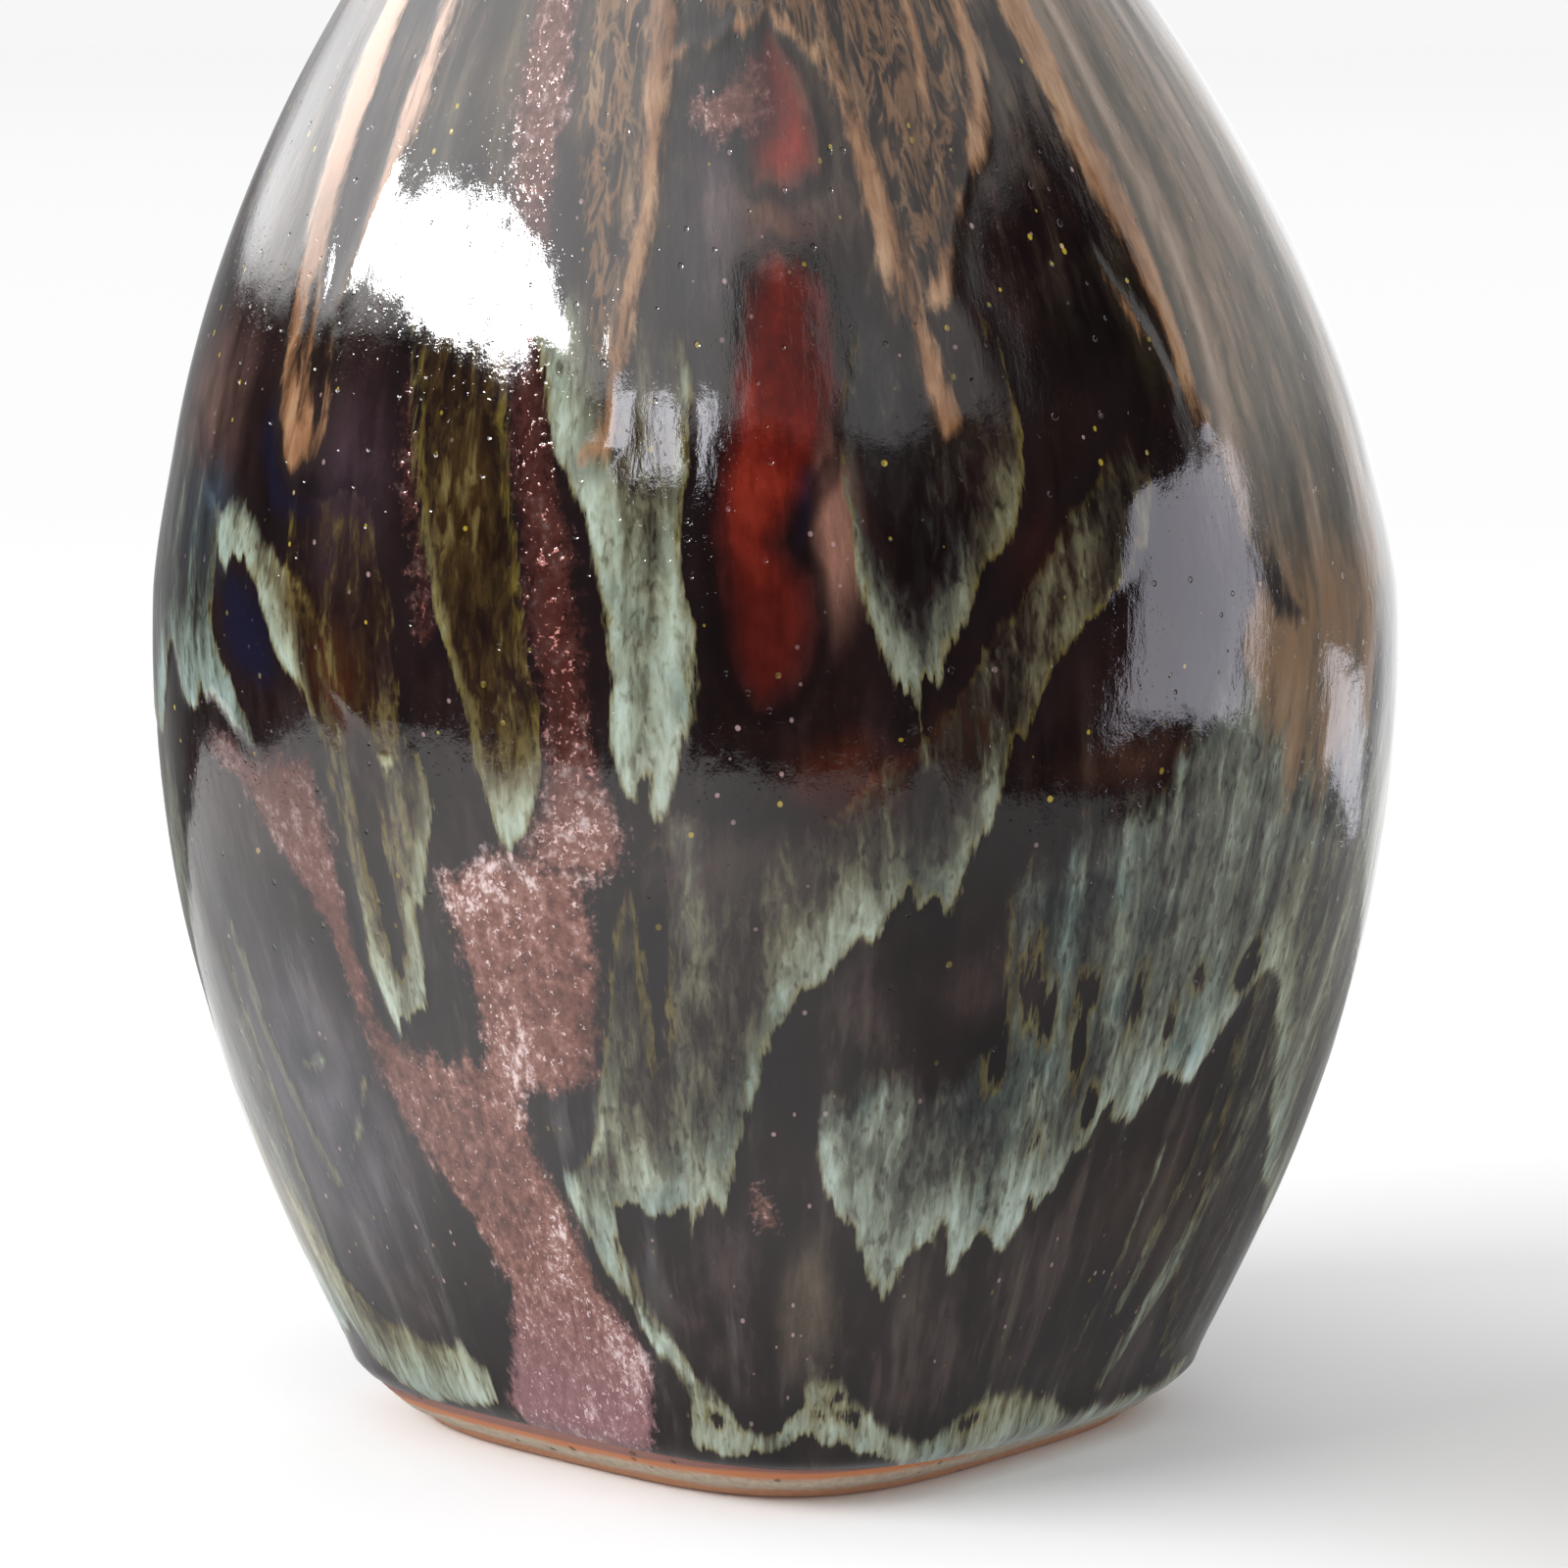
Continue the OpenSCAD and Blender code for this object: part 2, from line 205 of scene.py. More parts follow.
# ---------------- where each glaze lies
# Outlines are of (degrees from the front, mm of height) points, and strokes add their half width in mm.
# Each is repeated half a turn round, at the back. An ash area is an outline, then how far its pale rim
# and the whole run reach above its lower edge in mm, how pale it is inside, and how amber it is.
ASH_AREAS = [
    # the cap at the far left, with its notched pale rim
    ([(-90, 76), (-70, 72), (-64, 69), (-60, 66), (-60, 62), (-60.5, 60), (-59, 57.5), (-57, 56),
      (-55.5, 53.5), (-54, 51.3), (-56, 51.8), (-58, 52.6), (-60, 54), (-61.5, 54.8), (-63, 54), (-64, 55),
      (-65, 53.5), (-67, 52.8), (-69, 54), (-71, 57), (-74, 54), (-78, 50), (-90, 52)], 7, 20, 0.22, 0.0),
    # the left run and its forked tip
    ([(-61, 67), (-59.5, 64), (-57.6, 62.6), (-57, 63.6), (-55, 64.2), (-53.5, 62.5), (-50, 59),
      (-48.5, 57), (-46.8, 55.8), (-45.5, 53), (-44.6, 49.5), (-43.6, 45), (-43.2, 41), (-44.2, 38),
      (-43.9, 35.5), (-42.6, 32.2), (-41.6, 33.6), (-40.6, 33.2), (-39.4, 34), (-38.2, 34.2), (-37.3, 36.5),
      (-37.1, 39.5), (-36.6, 42), (-35.4, 41.6), (-34.6, 43.6), (-33, 46.5), (-31.5, 48.5), (-33, 52),
      (-36, 55), (-40, 57), (-44, 61), (-50, 65), (-56, 68)], 7, 17, 0.15, 0.7),
    # faint amber streaks between the left run and the two strands
    ([(-49, 69), (-38, 69), (-35, 61), (-34.5, 53), (-37, 50.5), (-41, 55), (-45, 58), (-48, 61)],
      0.5, 18, 0.0, 1.0),
    # two strands that meet in one tip
    ([(-35, 79), (-33.5, 74), (-32.6, 69), (-31.2, 64.6), (-30, 61), (-28.6, 57.6), (-27.4, 54),
      (-27, 50.5), (-25.8, 47.6), (-23.9, 45.6), (-23.2, 47.2), (-22.3, 47.6), (-21.3, 49.6), (-20.5, 52.5),
      (-20.3, 56), (-21.4, 60), (-22.4, 65), (-23.4, 70), (-24.6, 76), (-26, 84), (-31, 83)],
      5.5, 28, 0.14, 1.0),
    # the long pale run left of the middle
    ([(-23, 80), (-20.5, 76), (-19, 72), (-17, 69.4), (-15.4, 66), (-14.6, 62), (-14, 58), (-14.1, 54.4),
      (-13, 51.2), (-12, 50.8), (-11.4, 52), (-11, 50), (-10.2, 48.2), (-9.4, 50), (-8.6, 53), (-7.4, 55.6),
      (-6.6, 58), (-6.6, 61.5), (-7.6, 64.5), (-7.8, 68), (-6.8, 72), (-6.6, 77), (-8, 82), (-14, 84),
      (-20, 84)], 23, 36, 0.12, 0.5),
    # the broad point right of the middle
    ([(6.6, 75), (6.4, 71), (6.8, 66), (7.8, 62), (9.4, 59), (10.8, 57.4), (11.3, 55), (11.9, 52.2),
      (12.5, 52.6), (12, 56), (12.6, 58), (13.4, 57.2), (14.2, 58.4), (15.6, 61), (17, 63), (18.6, 65.4),
      (20.4, 66.6), (22, 69), (23.4, 73), (23, 79), (20, 84), (14, 87), (10, 83), (8, 79)],
      7, 26, 0.0, 0.15),
    # the diagonal run, the long drip below it and its thin thread to the foot
    ([(37, 71), (34.4, 66.4), (31, 63.4), (28, 61.4), (26.4, 60.8), (25.4, 59.4), (24.2, 58.6), (22.6, 56),
      (21.6, 54.2), (20.2, 53.6), (19.4, 50.4), (18, 48), (16.8, 47), (16, 45), (14.5, 42), (13.2, 43.4),
      (12, 43.2), (11, 44.6), (9.6, 43.2), (8.2, 41.4), (6.6, 41.6), (5, 40), (3, 38.4), (1.6, 37.8),
      (0.4, 35.6), (-0.6, 34.8), (-1.6, 32), (-2.6, 29.6), (-3.6, 26.4), (-4.6, 23.6), (-5.6, 22.4),
      (-6.6, 23.4), (-7.6, 22.2), (-8.3, 22.6), (-8.9, 19.4), (-9.5, 22.4), (-11, 21.4), (-13, 21.8),
      (-15.4, 22.4), (-16.8, 21.8), (-17.6, 19.6), (-17, 16), (-14.6, 13.8), (-11.6, 12), (-9.4, 9.6),
      (-11.4, 9), (-13.4, 11), (-15.6, 12.8), (-17.6, 14.6), (-20.6, 18.4), (-23.4, 22.8), (-24.2, 24.4),
      (-22, 24.2), (-19.6, 25.4), (-18, 27.4), (-17.4, 31), (-16, 35), (-15.6, 40), (-13, 46), (-8, 50),
      (-2, 49), (4, 50), (10, 54), (16, 58), (22, 64), (28, 69), (34, 74)], 8, 26, 0.2, 0.4),
    # the broad mass at the right, with teeth along its lower edge
    ([(2.8, 30), (3.6, 27), (4.6, 24.6), (6, 22.4), (7.6, 21), (8.6, 19.4), (9.6, 17.2), (11.4, 15),
      (12.4, 16.2), (13.2, 18.4), (14.6, 20), (16.4, 20), (17.1, 21.4), (17.9, 21.2), (18.3, 19),
      (18.9, 16.8), (19.8, 17.6), (20.6, 19.2), (22.4, 19.6), (24, 19.2), (25.8, 18.5), (26.6, 20),
      (27.6, 20.6), (28.2, 22), (29.2, 21), (30.4, 22), (32, 22.4), (33.4, 24.4), (34.8, 25), (36.2, 27.6),
      (37.4, 28.2), (38.2, 26.4), (39.6, 26), (41, 27), (42.2, 26), (43.6, 27.8), (45.6, 29.4), (48, 29),
      (51, 28.6), (53, 30.4), (56, 33), (59, 35.6), (62, 34), (66, 29), (70, 24), (76, 18), (84, 14),
      (92, 18), (92, 46), (80, 52), (66, 56), (52, 58), (44, 60), (36, 50), (24, 49), (20, 44), (21, 34),
      (12, 33), (7, 32)], 8, 38, 0.48, 0.0),
    # the pool along the foot, right and left
    ([(-12, 5.2), (-11, 4.2), (-6, 4), (-1, 4.6), (3, 5.6), (8, 4.8), (13, 3.6), (19, 2.2), (26, 1.2),
      (40, 1), (60, 1.4), (80, 2), (80, 5), (62, 4), (46, 5.4), (36, 7), (28, 7.4), (22, 5.4), (17, 5.2),
      (13, 6.6), (10.4, 8), (8.6, 9.4), (6, 10.4), (3.6, 12), (2.6, 10), (3, 8), (0, 6.8), (-4, 6.4),
      (-6, 8), (-8, 10.6), (-10.6, 9.6)], 7, 16, 0.5, 0.8),
    ([(-72, 5.4), (-66, 4.4), (-58, 3.8), (-50, 4.2), (-46.2, 5.4), (-46.2, 8), (-48.6, 9.4), (-53, 8.6),
      (-58, 9.6), (-64, 10), (-69, 12), (-74, 18), (-80, 24), (-82, 12)], 7, 14, 0.5, 0.8),
    # the pale side that faces left
    ([(-71, 8), (-68.4, 18), (-67.6, 28), (-69, 38), (-71.6, 48), (-90, 60), (-94, 30), (-88, 6)],
      8, 70, 0.3, 0.3),
    # grey streaks that fade downwards at the far right
    ([(58, 44), (58, 32), (60, 22), (63, 13), (68, 7), (78, 4), (92, 6), (96, 24), (92, 44)],
      0.5, 60, 0.16, 0.3),
]
# long dark gaps inside the runs
ASH_GAPS = [
    [(-42.3, 48), (-41.6, 42), (-41.2, 38), (-40.4, 37.4), (-39.6, 39), (-38.8, 43), (-39, 47.5),
     (-40.5, 50)],
    [(-13.4, 47), (-11.6, 40), (-11.2, 33), (-10.2, 33), (-9.6, 40), (-9.4, 47)],
]
# where the runs are thinner and darker
ASH_THIN_PATCHES = [
    [(15, 60), (19, 52), (24, 53), (30, 58), (40, 66), (40, 78), (24, 86), (17, 84), (16, 70)],
]
# small dark holes in the runs: degrees, mm, half width and half height in mm
ASH_BLOTS = [
    (26.5, 35.5, 0.7, 1.7), (31, 36.6, 0.7, 1.1), (38, 35, 0.6, 1.9), (21, 33, 0.6, 1.2),
    (34, 28, 0.5, 0.9), (27.4, 26, 0.5, 0.8), (47, 36, 0.7, 0.8), (55, 36, 1.2, 1.5), (25, 37, 0.5, 1.2),
    (30.4, 33, 0.4, 1.4), (23.6, 38, 0.5, 1.5), (44, 33, 0.5, 0.8), (7, 8.4, 0.6, 0.35), (8.6, 7, 0.8, 0.4),
    (27.5, 5.4, 1.3, 0.3), (25, 6.6, 0.9, 0.25), (5.4, 7.6, 0.5, 0.3), (2.9, 10.6, 0.35, 0.3),
    (-7.6, 7, 0.7, 0.5),
]
# the trails that run down from the neck
OCHRE_STROKES = [
    [(-56, 122, 1.8), (-56, 104, 2.2), (-55.4, 98, 2.3), (-54, 91, 2.1), (-52.8, 85, 1.7), (-52.2, 80, 1.0),
     (-51.2, 76.5, 0.9), (-49.6, 73.4, 1.5), (-48.6, 72, 2.0)],
    [(-51.6, 87, 0.9), (-49.2, 80, 0.9), (-48.6, 75, 1.1), (-47.2, 72.4, 1.6)],
    [(-44, 122, 1.0), (-44, 104, 1.3), (-43.4, 99, 1.3), (-43.2, 94, 1.2), (-44, 89, 0.8), (-45.4, 84, 0.7),
     (-46.4, 80, 0.6), (-45.8, 77, 0.7), (-45, 74.4, 0.6), (-46.4, 71.6, 1.0)],
    [(-11, 120, 1.0), (-10.6, 100, 1.0), (-10.8, 94, 1.0), (-11.6, 88, 0.9), (-12.6, 84, 0.9),
     (-13.6, 79, 0.8), (-14, 76, 0.8), (-14.6, 73, 0.7), (-16.4, 71.8, 0.4)],
    [(9.6, 104, 0.7), (10.6, 96, 0.5), (11.8, 91, 0.8), (12.4, 88, 1.1), (13.6, 84, 1.1), (14.6, 80.5, 0.9),
     (15.6, 77.5, 1.0), (16.8, 74.8, 1.2)],
    [(36, 84, 0.2), (38.6, 80, 0.5), (41.4, 76, 0.3)],
    [(31, 118, 0.8), (30, 101, 0.7), (28.4, 96, 0.8), (26.4, 92, 0.8), (23.4, 89.4, 0.6), (21.2, 87.6, 0.6),
     (19.4, 84.8, 0.8), (17.6, 82.2, 0.8)],
    [(38.6, 120, 1.8), (39, 100, 2.2), (40.2, 94, 1.8), (41.4, 88, 1.4), (42.4, 83, 1.2), (43.6, 78, 0.9),
     (44.6, 74, 0.8)],
    [(-9, 97, 0.4), (-5, 97.6, 0.4), (-2, 99, 0.5), (2, 100, 0.4), (6, 98.4, 0.5), (9, 97, 0.3)],
    [(22, 112, 0.6), (22, 98, 0.6), (20.4, 94, 0.6), (19, 91, 0.3)],
]
# where the ochre lies in a lace of thin strands
LACE_PATCHES = [
    [(-21, 120), (-9.6, 120), (-9.6, 92), (-12, 86), (-14, 76), (-17, 78), (-19, 85), (-21, 92)],
    [(-10, 120), (36, 120), (32, 98), (24, 91), (19, 82), (15, 84), (9, 94), (4, 99), (-4, 99), (-10, 98)],
]
# where it is smeared thin
SMEAR_PATCHES = [
    [(37, 120), (74, 120), (76, 80), (74, 62), (66, 58), (58, 57), (52, 62), (47, 66), (44, 74), (41, 84),
     (38, 94)],
    [(45, 61), (49, 62.4), (53, 60.6), (58, 62.6), (63, 61), (68, 63), (72, 60), (71, 55), (69, 50),
     (67, 52.6), (65, 47), (63, 50.6), (60.6, 45.4), (58, 50), (55.4, 47), (52.6, 53), (50, 51.4),
     (47.6, 56), (45.6, 56.8)],
]
BRICK_PATCHES = [
    # the column that starts at the shoulder
    [(-29, 106), (-23, 106), (-22, 95), (-22, 88), (-21, 82), (-20, 76), (-19, 70), (-17.5, 65),
     (-16.5, 60), (-16.5, 55), (-15, 50), (-13.4, 47), (-15, 45.6), (-19, 45.6), (-22, 46.4), (-20.4, 50),
     (-20, 55), (-21, 60), (-22.6, 66), (-24.2, 76), (-25, 86), (-27.6, 96)],
    # the big field low on the left
    [(-32, 44), (-26, 45.5), (-22, 46), (-18.5, 45.5), (-16.8, 43), (-16, 40), (-15.8, 37), (-16.5, 34),
     (-18, 31.5), (-21, 30), (-26, 30), (-28, 29), (-26.5, 27), (-26, 25), (-24.5, 22.5), (-23, 19),
     (-21, 16), (-18.5, 13), (-16.5, 10), (-16.5, 7), (-17, 4), (-30, 1), (-42, 3), (-44, 5.5), (-42, 8),
     (-40, 10), (-36, 14.5), (-39, 18), (-43, 23), (-45, 26), (-47.4, 30), (-46, 33), (-41, 31.6),
     (-36, 31), (-31, 32), (-31.6, 38)],
    # the salmon band at the left
    [(-63, 51), (-55, 51.4), (-48, 50.8), (-46.4, 47), (-46.4, 42), (-45.4, 36), (-45, 31), (-47.4, 29),
     (-48.6, 35), (-50.4, 40), (-53, 45), (-57, 48.6)],
    # the worn patch high in the middle
    [(-7, 94), (-3, 95.5), (0, 97.6), (1.6, 96), (1.8, 93.6), (0, 92.8), (-3, 92.2), (-5, 92.4)],
]
# narrow brick streaks
BRICK_STROKES = [
    [(-35, 76, 0.3), (-33.4, 70, 0.45), (-31.6, 64, 0.5), (-31, 60, 0.3)],
    [(-2.4, 24, 0.1), (-1.6, 22.6, 0.3), (-1, 21.4, 0.1)],
]
# thin olive threads
ASH_STROKES = [
    [(-36, 80, 0.3), (-33.8, 73, 0.4), (-31.6, 64, 0.3)],
    [(-27, 86, 0.5), (-28, 78, 0.5), (-27, 70, 0.4)],
    [(-17.6, 18, 0.6), (-15.4, 14.2, 0.8), (-12.6, 11.4, 0.9), (-10.4, 8.8, 1.0), (-8.4, 6.4, 1.1)],
    [(-60, 29, 0.3), (-56.6, 29.8, 0.2)],
    [(-58, 22, 0.2), (-50, 29, 0.2)],
    [(66, 34, 1.0), (66, 24, 1.6), (62, 14, 1.4), (56, 6, 0.9)],
    [(57, 31, 0.4), (57, 22, 0.8), (53, 12, 0.7)],
    [(50, 24, 0.2), (49, 16, 0.5), (46, 9, 0.3)],
    [(-66, 38, 0.3), (-65, 30, 0.6), (-62, 20, 0.5)],
]
# the long red flame in the middle, the red above it and a spot at the right
RED_PATCHES = [
    [(-1, 84), (1, 85), (4, 85), (6.6, 83), (7.6, 79), (7.8, 76), (6.4, 73), (4.2, 71), (2.5, 69), (1, 67),
     (3, 65), (3.5, 62), (2.5, 59), (1, 57), (-1, 56), (-2.5, 56.5), (-4.5, 59), (-5, 63), (-5.5, 68),
     (-5, 72), (-4, 76), (-2.5, 80)],
    [(-1, 97.6), (2.6, 99), (5.4, 96.6), (7.4, 92.6), (7.2, 90), (4, 89), (0, 89.4), (-1.6, 93)],
    [(60.4, 65.6), (65, 66), (66, 64), (62.4, 62.8)],
]
# dark blue pools beside the runs
NAVY_PATCHES = [
    [(-54, 75), (-52, 76.6), (-51, 72), (-49, 69), (-46, 68.6), (-43, 68.4), (-46, 66), (-50, 66.2),
     (-53, 68), (-54.8, 72)],
    [(-59, 62.5), (-56, 63.5), (-54, 63.2), (-52, 60.6), (-49, 57.5), (-52, 55), (-57, 56.6), (-58.6, 59)],
    [(2.4, 72), (4.2, 71.6), (3.4, 69), (2.4, 66.6), (1.6, 66), (1.8, 69)],
]
# soft washes in the dark glaze: degrees, mm, half width and half height in mm, screen colour, strength
WASHES = [
    (-42, 70, 8, 10, (52, 40, 46), 0.8), (-43, 57, 5, 5, (72, 36, 16), 0.8),
    (-27, 68, 3.5, 9, (58, 38, 14), 0.8), (-66, 74, 9, 8, (92, 70, 64), 0.8),
    (-64, 66, 7, 6, (66, 80, 92), 0.8), (-7, 86, 3, 9, (58, 54, 58), 0.5),
    (10, 76, 4, 9, (46, 46, 48), 0.6), (6, 52, 6, 4, (70, 28, 12), 0.8), (15, 54, 4, 4, (74, 46, 28), 0.7),
    (24, 65, 4, 5, (50, 22, 14), 0.7), (32, 79, 8, 10, (12, 8, 7), 0.9), (39, 80, 2, 7, (42, 38, 20), 0.6),
    (55, 18, 9, 7, (52, 34, 26), 0.7), (-60, 26, 14, 16, (80, 78, 86), 0.8),
    (54, 84, 9, 16, (120, 100, 84), 0.7), (2, 87, 4, 4, (66, 30, 20), 0.8),
    (2.8, 15.5, 3.5, 8, (98, 86, 72), 0.95), (-4, 46, 8, 5, (70, 58, 56), 0.6),
    (12, 24, 5, 8, (30, 24, 26), 0.5), (33, 52, 8, 3, (82, 54, 44), 0.7),
    (5.6, 68, 2.4, 9, (140, 100, 86), 1.0), (-29, 99, 6, 12, (96, 84, 66), 0.7),
    (-37, 92, 4, 9, (74, 70, 62), 0.6), (-4, 88, 3, 10, (84, 72, 78), 0.6),
    (24, 38, 14, 4, (74, 58, 56), 0.5), (50, 20, 10, 9, (62, 44, 36), 0.6),
    (-21, 66, 2.5, 6, (10, 8, 10), 0.8), (-52, 60, 3, 3, (16, 12, 40), 0.8),
]
BASE_GLAZE = (30, 18, 18)
LACE_TOP_Z = 112.0  # above this the lace covers the whole neck
RUN_EDGE = (-0.4, 0.3)  # the distances over which a run goes from clear to full


def linear(colour):
    """An 8-bit screen colour as scene-linear values."""
    values = np.array(colour, float) / 255
    return np.where(values <= 0.04045, values / 12.92, ((values + 0.055) / 1.055) ** 2.4)


def half_turned(places):
    """The same points, holes or washes moved half a turn, to the back of the vase."""
    return [(angle + 180, *rest) for angle, *rest in places]


def with_back(shapes):
    """The shapes of the front, and the same kind of shapes round the back."""
    return shapes + [half_turned(shape) for shape in shapes]


def union(angle, z, patches=(), strokes=()):
    """The largest distance over several patches and strokes, positive inside any of them."""
    best = np.full(angle.shape, -FAR)
    for outline in with_back(list(patches)):
        best = np.maximum(best, patch_distance(angle, z, outline))
    for stroke in with_back(list(strokes)):
        best = np.maximum(best, stroke_distance(angle, z, stroke))
    return best


def rise_above_edge(inside, step):
    """How far each point lies above the lower edge of the area that it is in, row by row."""
    rise = np.zeros(inside.shape)
    for row in range(1, len(rise)):
        rise[row] = np.where(inside[row], rise[row - 1] + step[row], 0.0)
    for shift in (1, 2, 4):
        rise = (rise + np.roll(rise, shift, axis=1) + np.roll(rise, -shift, axis=1)) / 3
    return rise


def ash_fields(angle, z, step):
    """Where the ash glaze lies, how pale and how amber it is, and how thickly it covers."""
    ash = np.full(angle.shape, -FAR)
    pale, body, amber = np.zeros((3,) + angle.shape)
    for outline, pale_reach, run_reach, inner_pale, inner_amber in ASH_AREAS:
        for shape in with_back([outline]):
            distance = patch_distance(angle, z, shape)
            rise = rise_above_edge(distance > 0, step)
            fall = rise_above_edge(distance[::-1] > 0, step[::-1])[::-1]
            inside = fade(distance, *RUN_EDGE)
            rim = 1 - fade(rise, 0.05 * pale_reach, pale_reach)
            cover = inside * (1 - fade(rise, 0.5 * run_reach, run_reach)) * fade(fall, 0.0, 0.13 * run_reach)
            pale = np.maximum(pale, inside * (inner_pale + (1 - inner_pale) * rim))
            amber = np.maximum(amber, inside * inner_amber * (1 - 0.75 * rim))
            body = np.maximum(body, cover)
            ash = np.maximum(ash, distance)
    thin = fade(union(angle, z, ASH_THIN_PATCHES), -1.5, 2.5)
    pale *= 1 - 0.6 * thin
    amber = np.maximum(amber, 0.5 * thin)
    threads = union(angle, z, strokes=ASH_STROKES)
    body = np.maximum(body, 0.6 * fade(threads, *RUN_EDGE))
    pale = np.maximum(pale, 0.4 * fade(threads, *RUN_EDGE))
    gaps = union(angle, z, ASH_GAPS)
    for middle, height, across, up in ASH_BLOTS + half_turned(ASH_BLOTS):
        hole = 1 - oval_distance(angle, z, middle, height, across, up)
        gaps = np.maximum(gaps, hole * min(across, up))
    return {"ash": np.minimum(np.maximum(ash, threads), -gaps), "pale": pale, "body": body, "amber": amber}


def wash_colours(angle, z):
    """The dark glaze's own colour, with soft washes of other colours in it."""
    wash = np.broadcast_to(linear(BASE_GLAZE), angle.shape + (3,)).copy()
    for middle, height, across, up, colour, strength in WASHES + half_turned(WASHES):
        amount = strength * (1 - ease(oval_distance(angle, z, middle, height, across, up)))
        wash += (linear(colour) - wash) * amount[..., None]
    return wash


def glaze_fields(angle, z):
    """Every glaze's distance field and the wash colour, on a grid of angles and heights."""
    back = fade(np.cos(np.radians(angle)), 0.1, -0.3)
    wander = 0.35 + 1.6 * back
    warped_a = angle + wander * soft_noise(angle, z, 9, 14, 11) + 0.35 * soft_noise(angle, z, 2.2, 7, 12)
    warped_z = z + wander * soft_noise(angle, z, 8, 12, 13) + 0.5 * soft_noise(angle, z, 1.1, 6, 14)
    step = np.diff(z, axis=0, prepend=z[:1])
    turn = np.radians(warped_a)
    return {
        **ash_fields(warped_a, warped_z, step),
        "ochre": union(warped_a, warped_z, strokes=OCHRE_STROKES),
        "lace": np.maximum(union(warped_a, warped_z, LACE_PATCHES), (z - LACE_TOP_Z) * 0.4),
        "smear": union(warped_a, warped_z, SMEAR_PATCHES),
        "brick": union(warped_a, warped_z, BRICK_PATCHES, BRICK_STROKES),
        "red": union(warped_a, warped_z, RED_PATCHES),
        "navy": union(warped_a, warped_z, NAVY_PATCHES),
        "wash": wash_colours(warped_a, warped_z),
        "cloud": layered_noise(warped_a, z, 5, 7, 31, 4),
        "streak": layered_noise(warped_a, z, 1.7, 13, 41, 3),
        "flow": np.stack([BELLY_D / 2 * np.sin(turn), -BELLY_D / 2 * np.cos(turn), z], axis=-1),
    }


# ---------------- meshes
COAT_TOP_Z = HEIGHT - 0.7  # where the coat turns over the lip
INNER_TOP_Z = HEIGHT - 1.6  # how high the coat's hidden inner face reaches
CLAY_TOP_Z = HEIGHT - 1.0
CLAY_GAP = 0.02  # between the clay and the glazes, so that no faces coincide
BEAD_T, BEAD_H = 0.3, 1.4  # the bead along the coat's lower edge
RUN_RELIEF, TRAIL_RELIEF = 0.13, 0.10


def grid_faces(rows, columns, close_rows=False):
    """Quads of a grid whose columns close round the vase, and its rows too if asked."""
    row = np.arange(rows if close_rows else rows - 1)[:, None]
    column = np.arange(columns)[None, :]
    above, right = (row + 1) % rows, (column + 1) % columns
    corners = [(row, column), (row, right), (above, right), (above, column)]
    numbers = [np.broadcast_to(r * columns + c, (len(row), columns)) for r, c in corners]
    return np.stack(numbers, axis=-1).reshape(-1, 4)


def make_piece(name, points, faces, caps=()):
    """A smooth-shaded mesh object from points in metres, quads, and end caps of many corners."""
    mesh = bpy.data.meshes.new(name)
    mesh.from_pydata(points.reshape(-1, 3).tolist(), [], faces.tolist() + [list(cap) for cap in caps])
    mesh.polygons.foreach_set("use_smooth", np.ones(len(mesh.polygons), bool))
    mesh.update()
    piece = bpy.data.objects.new(name, mesh)
    bpy.context.scene.collection.objects.link(piece)
    return piece


def ring_points(rings, columns):
    """Points in metres on the squared rings of (radius, height in mm)."""
    turn = np.linspace(0, 360, columns, endpoint=False)
    return np.stack([wall_point(np.full(columns, h), turn, np.full(columns, r)) for r, h in rings])


def capped_piece(name, rings, columns):
    """A piece from rings of (radius, height in mm), with its first and last ring closed off."""
    last = (len(rings) - 1) * columns
    caps = (range(columns)[::-1], range(last, last + columns))
    return make_piece(name, ring_points(rings, columns), grid_faces(len(rings), columns), caps)


def store(piece, name, values):
    """Keeps one value, or one vector or colour, per point for the material to read."""
    if values.ndim == 3:
        attribute = piece.data.attributes.new(name, "FLOAT_VECTOR", "POINT")
        attribute.data.foreach_set("vector", values.ravel().astype(np.float32))
    else:
        attribute = piece.data.attributes.new(name, "FLOAT", "POINT")
        attribute.data.foreach_set("value", values.ravel().astype(np.float32))


def even_heights(low, high, count):
    """Heights that divide the outline between low and high into equal lengths."""
    z = np.linspace(low, high, 2000)
    length = np.concatenate([[0], np.cumsum(np.hypot(np.diff(z), np.diff(outline_r(z))))])
    return np.interp(np.linspace(0, length[-1], count), length, z)


def coat_relief(angle, z, fields):
    """How far the runs, the trails and the coat's own waviness stand proud, in mm."""
    streaks = soft_noise(angle, z, 0.9, 7, 21)
    relief = RUN_RELIEF * fade(fields["ash"], -1.2, 2.0) * (0.4 + 0.6 * fields["pale"]) * fields["body"]
    relief *= 1 + 0.1 * streaks
    relief += TRAIL_RELIEF * fade(fields["ochre"], -0.8, 0.9)
    relief += 0.07 * soft_noise(angle, z, 7, 10, 22) + 0.025 * soft_noise(angle, z, 2.5, 5, 23)
    return relief


